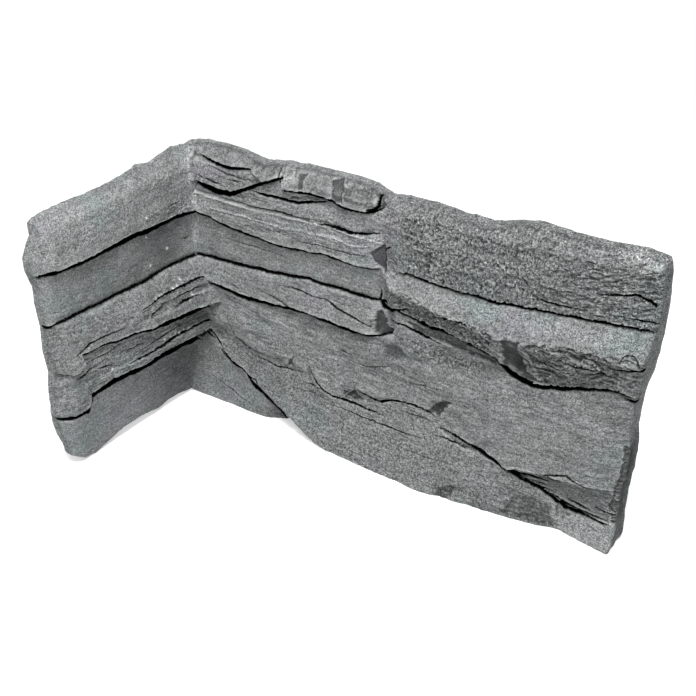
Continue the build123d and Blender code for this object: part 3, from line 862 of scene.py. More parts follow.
@dataclass
class Patch:
    """The relief worked out on one leg's grid of points."""

    relief: Relief
    leg: Leg
    along: np.ndarray
    up: np.ndarray
    riven_steps: float = 3.0
    grain_gain: float = 1.6
    crease_dark: float = 0.35
    crease_darkest: float = 0.3

    def __post_init__(self) -> None:
        """Bend the grid a little, so that no joint is ruler-straight, and find the plain faces."""
        bend = self.relief.bend
        sign = 1.0 if self.leg is Leg.LONG else -1.0
        self.q = sign * self.along
        shift = (0.7 * bend.at(self.q / 17, self.up / 11)
                 + 0.3 * bend.at(self.q / 5 + 40, self.up / 4))
        lift = (0.6 * bend.at(self.q / 13 + 90, self.up / 15)
                + 0.3 * bend.at(self.q / 4 + 60, self.up / 5))
        self.x = self.along + shift
        self.z = self.up + lift
        self.height, self.owner = self.relief.face(self.leg, self.x, self.z)
        self.dressed_face = self.height.copy()
        # Painted shadow: how black the joints, cracks and creases are painted.
        self.painted_shadow = np.zeros(self.x.shape)
        # The colour shift: the stones' own streaks and grains, and painted light and shade.
        self.tone_and_shade = np.zeros(self.x.shape)
        self.level = (self.z - 0.25 * np.clip(self.x - 235, 0, None) * sign
                      + 1.2 * bend.waves(self.q / 25, self.z / 12 + 8, 2))

    def strength(self, name: str) -> np.ndarray:
        """Return one field of the dressing at each point."""
        table = np.array([getattr(stone.dressing, name) for stone in STONES])
        return table[self.owner]

    def texture(self) -> None:
        """Add swell, riven steps, level lines, scales, chips and grain, and paint shade into the
        creases.
        """
        kit = self.relief
        q, z = self.q, self.z
        swell = kit.coarse.waves(q / 34, z / 18, 3, 0.5)
        steps = kit.flakes.waves(q / 30, z / 9, 4, 0.55) * self.riven_steps
        level = np.floor(steps)
        riven = (level + ease(steps - level, 0.86, 1.0)) / self.riven_steps
        lines = kit.fine.waves(q / 22, z / 2.0, 3, 0.65)
        grain = kit.fine.waves(q / 3.4 + 31, z / 2.6, 3, 0.75)
        chips = 1 - 2 * np.abs(kit.coarse.waves(q / 11 + 7, z / 7 + 3, 4, 0.6))
        gap, own = kit.scale_cells.cells(q / 2.3 + 0.35 * kit.bend.at(q / 6, z / 6), z / 2.0)
        wrinkles = 1 - 2 * np.abs(kit.flakes.waves(q / 3.4 + 50, z / 6.5, 3, 0.7))
        bedded = kit.fine.waves(q / 9 + 20, self.level / 2.4, 4, 0.75)
        right = ease(self.x, 275, 325)
        pebbled = (own - 0.5) * 0.5 + 0.5 * (0.6 - gap) + 0.6 * wrinkles
        scales = pebbled * (1 - 0.75 * right) + 0.7 * bedded * right
        flank = ease(self.x, 185, 201)
        self.scaly = np.clip(self.strength("scales"), 0, 1) * flank
        self.tone_and_shade += 0.16 * self.scaly * kit.coarse.waves(q / 8 + 3, z / 34, 2) * (1 - right)
        rise = np.gradient(self.height, axis=0) / np.gradient(self.z, axis=0)
        under = 0.25 + 0.75 * ease(rise, -0.45, 0.1)
        crease = (self.creases(kit.bend, q / 24 + 5, z / 6.0, 0.05)
                  + 0.7 * self.creases(kit.coarse, q / 13 + 3, z / 3.4, 0.07))
        crease = crease * ease(kit.flakes.at(q / 26 + 12, z / 15 + 4), -0.25, 0.45)
        strength = self.strength
        self.height = (self.height + strength("swell") * swell + strength("riven") * riven * under
                       + strength("lines") * lines + self.grain_gain * strength("grain") * grain
                       + strength("chips") * chips * under + strength("scales") * scales * flank
                       - strength("creased") * crease)
        # Painted shade in the creases.
        shade = np.clip(strength("creased") * crease * self.crease_dark, 0, self.crease_darkest)
        self.painted_shadow = np.maximum(self.painted_shadow, shade)

    @staticmethod
    def creases(noise: Noise, x: np.ndarray, y: np.ndarray, width: float) -> np.ndarray:
        """Return thin wandering creases, from 0 to 1, along the noise's zero line."""
        return np.clip(1 - np.abs(noise.waves(x, y, 3, 0.5)) / width, 0, 1)

    def layer(self, layer: Layer) -> None:
        """Set one layer back or forward, and paint its light or shade."""
        outline = self.relief.settle(self.leg, layer.outline)
        low, high = outline.min(axis=0) - 1, outline.max(axis=0) + 1
        near = (self.x > low[0]) & (self.x < high[0]) & (self.z > low[1]) & (self.z < high[1])
        if near.any():
            x, z = self.x[near], self.z[near]
            waves = self.relief.flakes.waves(x / 4.5 + 9, z / 3.5, 2)
            ragged = 0.9 * waves * min(layer.edge, 2.0) / 2
            inside = ease(ragged - outside(x, z, tuple(map(tuple, outline))), 0, layer.edge)
            if layer.rough < 0:
                fall = self.dressed_face[near] - self.height[near]
                self.height[near] += -layer.rough * inside * fall
            pits = 1 - 2.2 * np.abs(self.relief.fine.waves(x / 3.1, z / 2.4 + 60, 3, 0.7))
            self.height[near] -= (layer.offset - 0.5 * max(layer.rough, 0.0) * pits) * inside
            # Painted light or shade of the layer.
            self.tone_and_shade[near] += layer.tone * inside
            self.scaly[near] = np.maximum(self.scaly[near], layer.rough * inside)

    def soften(self, cell: float) -> None:
        """Run the faces into each other along the soft lines.

        Args:
            cell: spacing of the grid in millimetres.
        """
        if self.leg is Leg.SHORT:
            return
        smooth = blur(self.height, 3.4 / cell)
        for line, reach in SOFT_LINES:
            gap, _ = along_line(self.x, self.z, np.array(line, dtype=float))
            self.height += np.exp(-(gap / reach) ** 2) * (smooth - self.height)

    def scoop(self, scoop: Scoop) -> None:
        """Hollow out one scoop."""
        centre = self.relief.settle(self.leg, (scoop.centre,))[0]
        dx, dz = self.x - centre[0], self.z - centre[1]
        turn_cos, turn_sin = math.cos(scoop.turn), math.sin(scoop.turn)
        across = (dx * turn_cos + dz * turn_sin) / scoop.radii[0]
        upright = (-dx * turn_sin + dz * turn_cos) / scoop.radii[1]
        self.height -= scoop.depth * np.clip(1 - across ** 2 - upright ** 2, 0, 1)

    def cloud(self, tone_and_shade: ShadingCloud) -> None:
        """Paint one soft cloud of shade or light on one stone."""
        centre = self.relief.settle(self.leg, (tone_and_shade.centre,))[0]
        _, owner = self.relief.face(self.leg, centre[:1], centre[1:])
        dx, dz = (self.x - centre[0]) / tone_and_shade.radii[0], (self.z - centre[1]) / tone_and_shade.radii[1]
        self.tone_and_shade += tone_and_shade.tone * np.exp(-dx ** 2 - dz ** 2) * (self.owner == owner[0])

    def open_bed(self, bed: Bed) -> None:
        """Cut one level joint, undercut as far as the stone above hides it, and paint it black as its
        shadow.
        """
        cut = JOINT_CUT
        line = np.array(bed.line, dtype=float)
        span = np.arange(line[0, 0], line[-1, 0] + 0.5, 1.0)
        middle = np.interp(span, line[:, 0], line[:, 1])
        above, _ = self.relief.face(self.leg, span, middle + cut.probe)
        below, _ = self.relief.face(self.leg, span, middle - cut.probe)
        share = (span - span[0]) / (span[-1] - span[0])
        width = np.interp(share, np.linspace(0, 1, len(bed.widths)), bed.widths)
        smooth = np.convolve(np.pad(middle, 3, mode="edge"), np.ones(7) / 7, mode="valid")
        slope = np.gradient(smooth)
        drop = self.relief.sight(self.leg, middle) - slope * self.relief.drift(self.leg, span)
        hidden = np.clip((above - below) * drop, 0, cut.hidden_most)
        depth = np.minimum(bed.depth, cut.depth_least + cut.depth_share * width)
        floor = np.minimum(above, below) - depth
        reach = (self.x > span[0] - 0.5) & (self.x < span[-1] + 0.5)
        x, z = self.x[reach], self.z[reach]
        top = np.interp(x, span, middle + 0.5 * width)
        rise = np.minimum(cut.sill_rise, cut.sill_share * width)
        sill = np.interp(x, span, middle - 0.5 * width - hidden + rise)
        lip_radius = np.clip(below - above + cut.lip_extra, cut.lip_least, cut.lip_most)
        lip = np.interp(x, span, lip_radius)
        open_here = np.interp(x, span, width)
        is_open = open_here > cut.shut
        strength = np.clip(open_here / cut.full_width, 0, 1)
        height = self.height[reach]
        upper = self.rounded(z - top, cut.top_round) * strength
        lower = self.rounded(sill - z, lip) * strength
        height = height - np.where(z >= top, upper, 0) - np.where(z <= sill, lower, 0)
        within = (z < top) & (z > sill) & is_open
        deep = np.maximum(np.interp(x, span, floor), cut.floor_least)
        groove = height + strength * (np.minimum(height, deep) - height)
        self.height[reach] = np.where(within, groove, height)
        # Painted shadow: the open groove, and a short fading margin below its sill, are painted black.
        lean = np.interp(x, span, np.hypot(1, slope))
        fade = np.clip(0.5 + ((z - sill) / lean + cut.shade_start) / cut.shade_run, 0, 1)
        shade = fade * (z < top) * is_open
        self.painted_shadow[reach] = np.maximum(self.painted_shadow[reach], np.maximum(shade, within) * strength)

    @staticmethod
    def rounded(gap: np.ndarray, radius: float | np.ndarray) -> np.ndarray:
        """Return how far a rounded edge lies under its face, at a distance from the edge."""
        inner = np.clip(radius - gap, 0, radius)
        return radius - np.sqrt(radius ** 2 - inner ** 2)

    def crack(self, crack: Crack) -> None:
        """Cut one crack and paint it black as its shadow, or raise one rib and paint it pale as a
        highlight.
        """
        line = self.relief.settle(self.leg, crack.line)
        low, high = line.min(axis=0) - 6, line.max(axis=0) + 6
        near = (self.x > low[0]) & (self.x < high[0]) & (self.z > low[1]) & (self.z < high[1])
        if not near.any():
            return
        gap, place = along_line(self.x[near], self.z[near], line)
        width = np.interp(place, np.linspace(0, 1, len(crack.widths)), crack.widths)
        cut = np.clip(1.15 - (gap / (0.5 * width + 0.25)) ** 2, 0, 1)
        strength = np.clip(width / 0.9, 0, 1)
        self.height[near] -= crack.depth * cut * strength
        # Painted shadow in the crack.
        if crack.depth > 0:
            self.painted_shadow[near] = np.maximum(self.painted_shadow[near], np.clip(2.0 * cut, 0, 1) * strength)
        else:
            # Painted highlight along the raised rib.
            self.tone_and_shade[near] += 0.5 * cut

    def judge(self, cell: float) -> None:
        """Find the hollows, which get painted shade, and the edges, which get paint that is part wear
        and part painted highlight.

        Args:
            cell: spacing of the grid in millimetres.
        """
        near = blur(self.plain, 1.5 / cell) - self.plain
        broad = blur(self.plain, 5.0 / cell) - self.plain
        fine = blur(self.plain, 0.8 / cell) - self.plain
        waves = self.relief.coarse.waves(self.q / 9 + 77, self.z / 6, 3)
        patchy = 0.35 + 0.65 * ease(waves, -0.3, 0.5)
        open_joint = np.clip(self.painted_shadow * 3, 0, 1)
        # Painted highlight: a pale rim beside each open joint.
        rim = np.clip(blur(self.painted_shadow, 1.1 / cell) * 2.2, 0, 1) * (1 - open_joint)
        # Painted shade: the deeper a hollow, the darker it is painted.
        self.hollow = np.clip(np.clip(fine / 0.3, 0, 1) * 0.6 + np.clip(near / 1.2, 0, 1) * 0.45
                              + np.clip(broad / 7.0, 0, 1) * 0.3, 0, 1)
        # Paler convex edges and joint rims: part wear, part painted highlight.
        edges = np.clip(np.clip(-fine / 0.35, 0, 1) + 0.6 * rim, 0, 1)
        self.wear_and_highlight = edges * patchy * (1 - open_joint)
        step = np.abs(blur(self.tone_and_shade, 0.8 / cell) - self.tone_and_shade)
        self.keep = np.clip(np.maximum(self.painted_shadow, step * 8), 0, 1)

    def work(self, cell: float) -> None:
        """Dress the whole patch.

        Args:
            cell: spacing of the grid in millimetres.
        """
        self.soften(cell)
        self.texture()
        for layer in LAYERS[self.leg]:
            self.layer(layer)
        for scoop in SCOOPS[self.leg]:
            self.scoop(scoop)
        for tone_and_shade in SHADING_CLOUDS[self.leg]:
            self.cloud(tone_and_shade)
        if self.leg is Leg.SHORT:
            for grain in WHITE_GRAINS:
                self.white_grain(grain)
        self.plain = self.height.copy()
        for bed in BEDS[self.leg]:
            self.open_bed(bed)
        for crack in CRACKS[self.leg]:
            self.crack(crack)

    def white_grain(self, grain: tuple[float, float]) -> None:
        """Set one pale grain of sand, which stands a little proud."""
        place = self.relief.settle(self.leg, (grain,))[0]
        spot = np.exp(-((self.x - place[0]) ** 2 + (self.z - place[1]) ** 2) / 0.9)
        self.tone_and_shade += 3.4 * spot
        self.height += 0.4 * spot


@dataclass
class CornerPanel:
    """The cast panel: one sheet of relief over both legs, closed to the back planes."""

    long_length: float = 363.9
    short_length: float = 164.9
    height: float = 204.9
    long_run: float = 348.0
    short_run: float = 145.0
    spacing: float = 0.56
    quick_spacing: float = 1.2
    rings: int = 12
    triangles: int = 190000
    keep_over: float = 0.25
    corner_top: float = 201.5
    thinnest: float = 1.5
    sharp_angle: float = 50.0
    relief: Relief = field(default_factory=Relief)
    long_top: Line = ((0, 201), (11, 203), (32, 204), (59, 205), (72, 204), (86, 201.8),
                      (93, 200.6), (100, 202), (110, 204), (119, 204.4), (152, 205.4), (163, 205),
                      (171, 204.4), (177, 203.4), (181, 201), (188, 198.8), (198, 200.3),
                      (220, 200), (238, 198), (256, 198), (268, 201), (284, 205), (307, 203),
                      (331, 203), (346, 205), (360, 202), (364, 197))
    short_top: Line = ((0, 201), (12, 200), (30, 200), (42, 202), (52, 200), (63, 197), (74, 199),
                       (80, 197), (98, 194), (125, 193), (142, 193), (156, 191), (162, 188),
                       (165, 183))
    short_bottom: Line = ((0, 0), (29, 2), (35, 4), (52, 5), (64, 3), (75, 5), (91, 7), (107, 7),
                          (128, 2), (138, 0), (149, 2), (156, 6), (166, 12))
    long_end: Line = ((0, 358.5), (6, 360), (22, 358.5), (48, 359.2), (56, 360), (78, 360),
                      (88, 358), (104, 358), (116, 359), (130, 362), (143, 363), (165, 363.9),
                      (184, 363.5), (197, 362.5), (205, 360))
    short_end: Line = ((0, 152), (5, 154), (13, 155.2), (25, 159), (37, 161), (45, 161), (68, 160),
                       (82, 158), (100, 160), (121, 159.5), (140, 161), (156, 160.5), (163, 163),
                       (171, 165), (180, 165), (189, 161), (195, 157))

    def build(self, finish: "CastStone", plain: "CastBack") -> bpy.types.Object:
        """Make the panel.

        Args:
            finish: the finish of the stone faces and the sides.
            plain: the finish of the flat backs.

        Returns:
            The finished object.
        """
        short_cells = int(self.short_run / self.spacing)
        long_cells = int(self.long_run / self.spacing)
        rows = int(self.height / self.spacing)
        mesh = self.sheet(short_cells + long_cells, rows)
        column, row, ring = (self.marks(mesh, name) for name in ("column", "row", "ring"))
        front, back, values = self.shape(short_cells, long_cells, rows)
        share = (ring / self.rings)[:, None]
        fades = {"scaly": 0.3, "tone": 2, "bedding": 1, "grain": 0, "level": 0}
        place = front[row, column] * (1 - share) + back[row, column] * share
        place = self.roughen_sides(place, row, column, ring, rows, short_cells + long_cells)
        mesh.vertices.foreach_set("co", (place * MM).astype(np.float32).ravel())
        right_end = (ring > 0) & (column == short_cells + long_cells)
        for name, value in values.items():
            layer = mesh.attributes.new(name, "FLOAT", "POINT")
            amount = value[row, column] * (1 - share[:, 0]) ** fades.get(name, 8)
            if name == "tone":
                # Painted shade: the right end face a little paler at the top and darker towards its
                # foot.
                amount = amount + right_end * (0.05 - 0.6 * ease(-place[:, 2], -95, -75))
            layer.data.foreach_set("value", amount.astype(np.float32))
        self.close_back(mesh, short_cells)
        panel = bpy.data.objects.new("corner_relief", mesh)
        bpy.context.scene.collection.objects.link(panel)
        self.thin(panel)
        self.dress(panel, finish, plain)
        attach(panel, "root")
        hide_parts("corner_panel")
        return panel

    @staticmethod
    def marks(mesh: bpy.types.Mesh, name: str) -> np.ndarray:
        """Return one whole-number mark of every vertex."""
        values = np.zeros(len(mesh.vertices), dtype=np.int32)
        mesh.attributes[name].data.foreach_get("value", values)
        return values

    def sheet(self, columns: int, rows: int) -> bpy.types.Mesh:
        """Make the flat grid and its sides, each vertex marked with its column, row and ring.

        Args:
            columns: number of cells along both legs.
            rows: number of cells up.

        Returns:
            The mesh, still flat.
        """
        bm = bmesh.new()
        bmesh.ops.create_grid(bm, x_segments=columns, y_segments=rows, size=0.5)
        mesh = bpy.data.meshes.new("corner_relief")
        bm.to_mesh(mesh)
        flat = np.zeros(len(mesh.vertices) * 3, dtype=np.float32)
        mesh.vertices.foreach_get("co", flat)
        flat = flat.reshape(-1, 3)
        low, high = flat.min(axis=0), flat.max(axis=0)
        marks = {
            "column": np.rint((flat[:, 0] - low[0]) / (high[0] - low[0]) * columns),
            "row": np.rint((flat[:, 1] - low[1]) / (high[1] - low[1]) * rows),
            "ring": np.zeros(len(flat)),
        }
        for name, value in marks.items():
            layer = mesh.attributes.new(name, "INT", "POINT")
            layer.data.foreach_set("value", value.astype(np.int32))
        bm.clear()
        bm.from_mesh(mesh)
        ring_layer = bm.verts.layers.int["ring"]
        rim = [edge for edge in bm.edges if edge.is_boundary]
        for ring in range(1, self.rings + 1):
            made = bmesh.ops.extrude_edge_only(bm, edges=rim)["geom"]
            for element in made:
                if isinstance(element, bmesh.types.BMVert):
                    element[ring_layer] = ring
            rim = [element for element in made if isinstance(element, bmesh.types.BMEdge)
                   and all(vertex[ring_layer] == ring for vertex in element.verts)]
        bm.to_mesh(mesh)
        bm.free()
        return mesh

    def corner_line(self, up: np.ndarray) -> tuple[np.ndarray, np.ndarray]:
        """Find where the two legs' faces meet.

        Args:
            up: heights over the base.

        Returns:
            The corner's distance from the short leg's back plane and from the long leg's.
        """
        across = np.full(up.shape, 16.0)
        out = np.full(up.shape, 20.0)
        for _ in range(6):
            across = self.relief.face(Leg.SHORT, out, up)[0]
            out = self.relief.face(Leg.LONG, across, up)[0]
        kernel = np.hanning(11)
        kernel /= kernel.sum()
        pad = len(kernel) // 2
        across = np.convolve(np.pad(across, pad, mode="edge"), kernel, mode="valid")
        out = np.convolve(np.pad(out, pad, mode="edge"), kernel, mode="valid")
        return across, out

    def shape(self, short_cells: int, long_cells: int, rows: int
              ) -> tuple[np.ndarray, np.ndarray, dict[str, np.ndarray]]:
        """Work out where each grid point goes.

        Args:
            short_cells: columns of cells on the short leg.
            long_cells: columns of cells on the long leg.
            rows: rows of cells.

        Returns:
            The front points, the points on the back planes, and the finish's values.
        """
        level = np.linspace(0, 1, rows + 1)[:, None]
        row_heights = level[:, 0] * self.height
        across, out = self.corner_line(row_heights)
        fillet = self.relief.corner_round
        inset = fillet * (1 - math.sqrt(0.5))
        legs = {}
        for leg, cells, start, end_line, top_line, bottom_line in (
                (Leg.LONG, long_cells, across, self.long_end, self.long_top, ((0, 0), (400, 0))),
                (Leg.SHORT, short_cells, out, self.short_end, self.short_top, self.short_bottom)):
            share = np.linspace(0, 1, cells + 1)[None, :]
            end = np.interp(row_heights, *np.array(end_line, dtype=float).T)
            end = end + 0.35 * self.relief.bend.waves(row_heights / 7, row_heights * 0 + 5.5, 2)
            begin = (start + inset)[:, None]
            along = begin + share * (end[:, None] - begin)
            flat_along = along[rows // 2][None, :]
            top = np.interp(flat_along, *np.array(top_line, dtype=float).T)
            near = np.clip(1 - (flat_along - flat_along[:, :1]) / 15, 0, 1)
            top = top + (self.corner_top - top[:, :1]) * near
            ragged = 0.5 * self.relief.bend.waves(flat_along / 6 + 3, flat_along * 0 + 2.5, 3)
            top = np.minimum(top + ragged, self.height)
            bottom = np.interp(flat_along, *np.array(bottom_line, dtype=float).T)
            up = bottom + level * (top - bottom)
            patch = Patch(self.relief, leg, along, up)
            patch.work(self.spacing)
            patch.judge(self.spacing)
            gap = along - start[:, None]
            patch.tone_and_shade += self.seam(patch, gap)
            patch.height += Patch.rounded(gap, fillet)
            rims = 0.7 + 0.5 * self.relief.coarse.waves(patch.q / 12, patch.z / 12, 2)
            for distance, radius in ((top - up, 2.2), (up - bottom, 1.2),
                                     (end[:, None] - along, 2.2)):
                patch.height -= Patch.rounded(distance, radius) * np.clip(rims, 0.3, 1.2)
            patch.height = np.maximum(patch.height, self.thinnest)
            legs[leg] = (patch, along, up, end)
        return self.join(legs)

    @staticmethod
    def seam(patch: Patch, gap: np.ndarray) -> np.ndarray:
        """Return the paleness of the mould's seam, and painted light near the corner, at distances
        from the corner.
        """
        broken = 0.5 + 0.5 * ease(patch.relief.coarse.at(gap * 0 + 3, patch.z / 11), -0.4, 0.3)
        line = 0.42 * np.exp(-((gap - 1.6) / 1.3) ** 2) * ease(patch.z, 116, 128) * broken
        # The mould's seam line, plus painted light that lifts the shade near the corner.
        return line + 0.3 * np.exp(-gap / 9) * ease(patch.z, 96, 126)

    def join(self, legs: dict[Leg, tuple]
             ) -> tuple[np.ndarray, np.ndarray, dict[str, np.ndarray]]:
        """Lay the two legs side by side on one grid.

        Args:
            legs: each leg's patch, distances, heights and free end.

        Returns:
            The front points, the points on the back planes, and the finish's values.
        """
        long_patch, long_along, long_up, long_end = legs[Leg.LONG]
        short_patch, short_along, short_up, short_end = legs[Leg.SHORT]
        jitter = self.relief.fine
        long_lift = 0.25 * jitter.waves(long_along / 3.1, long_up / 2.7 + 50, 2)
        short_lift = 0.25 * jitter.waves(-short_along / 3.1, short_up / 2.7 + 50, 2)
        long_front = np.stack([long_along, -long_patch.height, long_up + long_lift], axis=2)
        short_front = np.stack([short_patch.height, -short_along, short_up + short_lift], axis=2)
        corner = np.stack([short_patch.height[:, 0], -long_patch.height[:, 0],
                           (long_up[:, 0] + short_up[:, 0]) / 2], axis=1)
        long_front[:, 0] = corner
        short_front[:, 0] = corner
        front = np.concatenate([short_front[:, ::-1], long_front[:, 1:]], axis=1)
        long_share = np.linspace(0, 1, long_along.shape[1])[None, :]
        short_share = np.linspace(0, 1, short_along.shape[1])[None, :]
        zero_long, zero_short = np.zeros_like(long_along), np.zeros_like(short_along)
        long_back = np.stack([long_share * long_end[:, None], zero_long, long_up], axis=2)
        short_back = np.stack([zero_short, -short_share * short_end[:, None], short_up], axis=2)
        back_corner = np.stack([zero_long[:, 0], zero_long[:, 0], corner[:, 2]], axis=1)
        long_back[:, 0] = back_corner
        short_back[:, 0] = back_corner
        back = np.concatenate([short_back[:, ::-1], long_back[:, 1:]], axis=1)

        def both(name: str) -> np.ndarray:
            """Return one of the patches' fields over both legs."""
            halves = [getattr(short_patch, name)[:, ::-1], getattr(long_patch, name)[:, 1:]]
            return np.concatenate(halves, axis=1)

        for patch in (short_patch, long_patch):
            # The tone: the stones' own tone plus painted light and shade.
            patch.tone = patch.strength("tone") + patch.tone_and_shade
            patch.grain = np.clip(patch.strength("grain") / 0.25, 0, 1)
            patch.bedding = np.clip(patch.strength("lines") / 0.35, 0, 1)
        # The joint value is the painted shadow of joints, cracks and creases.
        values = {"joint": np.clip(both("painted_shadow"), 0, 1)}
        for name in ("hollow", "wear_and_highlight", "tone", "grain", "scaly", "bedding", "level", "keep"):
            values[name] = both(name)
        return front, back, values

    def roughen_sides(self, place: np.ndarray, row: np.ndarray, column: np.ndarray,
                      ring: np.ndarray, rows: int, columns: int) -> np.ndarray:
        """Break the top and the two free ends like split stone, inside the panel's box."""
        rough = self.relief.coarse
        middle = np.sin(np.pi * np.clip(ring / self.rings, 0, 1)) * (ring > 0)
        depth = np.where(column < columns // 2, place[:, 0], -place[:, 1])
        run = place[:, 0] - place[:, 1]
        over = (rough.waves(run / 9, depth / 5 + 70, 3) * 0.9
                + rough.waves(run / 2.6, depth / 3 + 7, 2) * 0.5) * middle
        side = (rough.waves(place[:, 2] / 8, depth / 5 + 30, 3) * 0.9
                + rough.waves(place[:, 2] / 2.6, depth / 3 + 9, 2) * 0.4) * middle
        place[:, 2] += np.where(row == rows, over - 0.5 * middle, 0)
        place[:, 0] += np.where(column == columns, side - 0.4 * middle, 0)
        place[:, 1] -= np.where(column == 0, side - 0.4 * middle, 0)
        low = np.array([0.0, -self.short_length, 0.0])
        high = np.array([self.long_length, 0.0, self.height])
        return np.clip(place, low, high)

    def close_back(self, mesh: bpy.types.Mesh, short_cells: int) -> None:
        """Fill both flat backs."""
        bm = bmesh.new()
        bm.from_mesh(mesh)
        ring_layer = bm.verts.layers.int["ring"]
        column_layer = bm.verts.layers.int["column"]
        last = [vertex for vertex in bm.verts if vertex[ring_layer] == self.rings]
        corner = sorted((vertex for vertex in last if vertex[column_layer] == short_cells),
                        key=lambda vertex: vertex.co.z)
        upright = bm.edges.new((corner[0], corner[-1]))
        rim = [edge for edge in bm.edges if edge.is_boundary
               and all(vertex[ring_layer] == self.rings for vertex in edge.verts)]
        for is_long in (True, False):
            loop = [edge for edge in rim
                    if all((vertex[column_layer] >= short_cells) == is_long
                           or vertex[column_layer] == short_cells for vertex in edge.verts)]
            made = bmesh.ops.contextual_create(bm, geom=loop + [upright])
            for made_face in made["faces"]:
                made_face.material_index = 1
        bmesh.ops.triangulate(bm, faces=[face for face in bm.faces if len(face.verts) > 4])
        bmesh.ops.recalc_face_normals(bm, faces=bm.faces)
        bm.to_mesh(mesh)
        bm.free()

    def thin(self, panel: bpy.types.Object) -> None:
        """Bring the mesh under its number of triangles, keeping the edges."""
        mesh = panel.data
        mesh.calc_loop_triangles()
        count = len(mesh.loop_triangles)
        log.info("relief before thinning: %d triangles", count)
        if count <= self.triangles:
            return
        keep = panel.vertex_groups.new(name="keep")
        worth = np.zeros(len(mesh.vertices), dtype=np.float32)
        mesh.attributes["keep"].data.foreach_get("value", worth)
        keep.add(np.flatnonzero(worth > self.keep_over).tolist(), 1.0, "REPLACE")
        thin = panel.modifiers.new("thin", "DECIMATE")
        thin.vertex_group = "keep"
        thin.invert_vertex_group = True
        thin.vertex_group_factor = 1.0
        thin.ratio = self.triangles / count
        graph = bpy.context.evaluated_depsgraph_get()
        slim = bpy.data.meshes.new_from_object(
            panel.evaluated_get(graph), preserve_all_data_layers=True, depsgraph=graph)
        panel.modifiers.clear()
        panel.data = slim
        slim.name = "corner_relief"
        place = np.zeros(len(slim.vertices) * 3, dtype=np.float32)
        slim.vertices.foreach_get("co", place)
        place = np.clip(place.reshape(-1, 3), np.array([0, -self.short_length, 0]) * MM,
                        np.array([self.long_length, 0, self.height]) * MM)
        slim.vertices.foreach_set("co", place.astype(np.float32).ravel())
        bpy.data.meshes.remove(mesh)

    def dress(self, panel: bpy.types.Object, finish: "CastStone", plain: "CastBack") -> None:
        """Smooth the shading up to the sharp arrises, and give the panel its finishes."""
        mesh = panel.data
        mesh.materials.clear()
        mesh.materials.append(finish.material())
        mesh.materials.append(plain.material())
        bm = bmesh.new()
        bm.from_mesh(mesh)
        sharp = math.radians(self.sharp_angle)
        for bm_face in bm.faces:
            bm_face.smooth = True
        for edge in bm.edges:
            edge.smooth = edge.calc_face_angle(0.0) < sharp
        bm.to_mesh(mesh)
        bm.free()
        mesh.calc_loop_triangles()
        log.info("relief: %d triangles", len(mesh.loop_triangles))


class Nodes:
    """Short ways to place and join shader nodes."""

    def __init__(self, tree: bpy.types.NodeTree) -> None:
        """Keep the tree that nodes go to."""
        self.tree = tree

    def add(self, kind: str, **values: object) -> bpy.types.Node:
        """Place a node.

        Args:
            kind: the node's type name.
            values: its own settings by name.

        Returns:
            The node.
        """
        node = self.tree.nodes.new(kind)
        for name, value in values.items():
            setattr(node, name, value)
        return node

    def feed(self, target: bpy.types.NodeSocket, source: object) -> None:
        """Join a socket to a source, or set it where the source is a number or a colour."""
        if isinstance(source, bpy.types.NodeSocket):
            self.tree.links.new(source, target)
        else:
            target.default_value = source

    def math(self, operation: str, first: object, second: object = 0.0, clamp: bool = False
             ) -> bpy.types.NodeSocket:
        """Return a sum of two values."""
        node = self.add("ShaderNodeMath", operation=operation, use_clamp=clamp)
        self.feed(node.inputs[0], first)
        self.feed(node.inputs[1], second)
        return node.outputs[0]

    def mix(self, share: object, first: object, second: object, blend: str = "MIX"
            ) -> bpy.types.NodeSocket:
        """Return a mix of two colours."""
        node = self.add("ShaderNodeMix", data_type="RGBA", blend_type=blend)
        self.feed(node.inputs["Factor"], share)
        self.feed(node.inputs["A"], first)
        self.feed(node.inputs["B"], second)
        return [out for out in node.outputs if out.type == "RGBA"][0]

    def noise(self, where: bpy.types.NodeSocket, scale: float, detail: float = 2.0,
              rough: float = 0.5) -> bpy.types.NodeSocket:
        """Return a noise's value."""
        node = self.add("ShaderNodeTexNoise")
        node.inputs["Scale"].default_value = scale
        node.inputs["Detail"].default_value = detail
        node.inputs["Roughness"].default_value = rough
        self.tree.links.new(where, node.inputs["Vector"])
        return node.outputs["Fac"]

    def between(self, value: object, low: float, high: float) -> bpy.types.NodeSocket:
        """Return a value stretched from low and high to 0 and 1."""
        node = self.add("ShaderNodeMapRange", clamp=True)
        self.feed(node.inputs["Value"], value)
        node.inputs["From Min"].default_value = low
        node.inputs["From Max"].default_value = high
        return node.outputs["Result"]


Colour = tuple[float, float, float, float]


def grey(value: float, warm: float = 0.0, green: float = 0.0) -> Colour:
    """Return a near-grey colour, with a little red or green added."""
    return (value + warm, value + green, value - warm, 1.0)


def cleared(owner: bpy.types.Material | bpy.types.World) -> Nodes:
    """Return an empty node tree of a material or the world, ready for nodes."""
    owner.use_nodes = True
    owner.node_tree.nodes.clear()
    return Nodes(owner.node_tree)


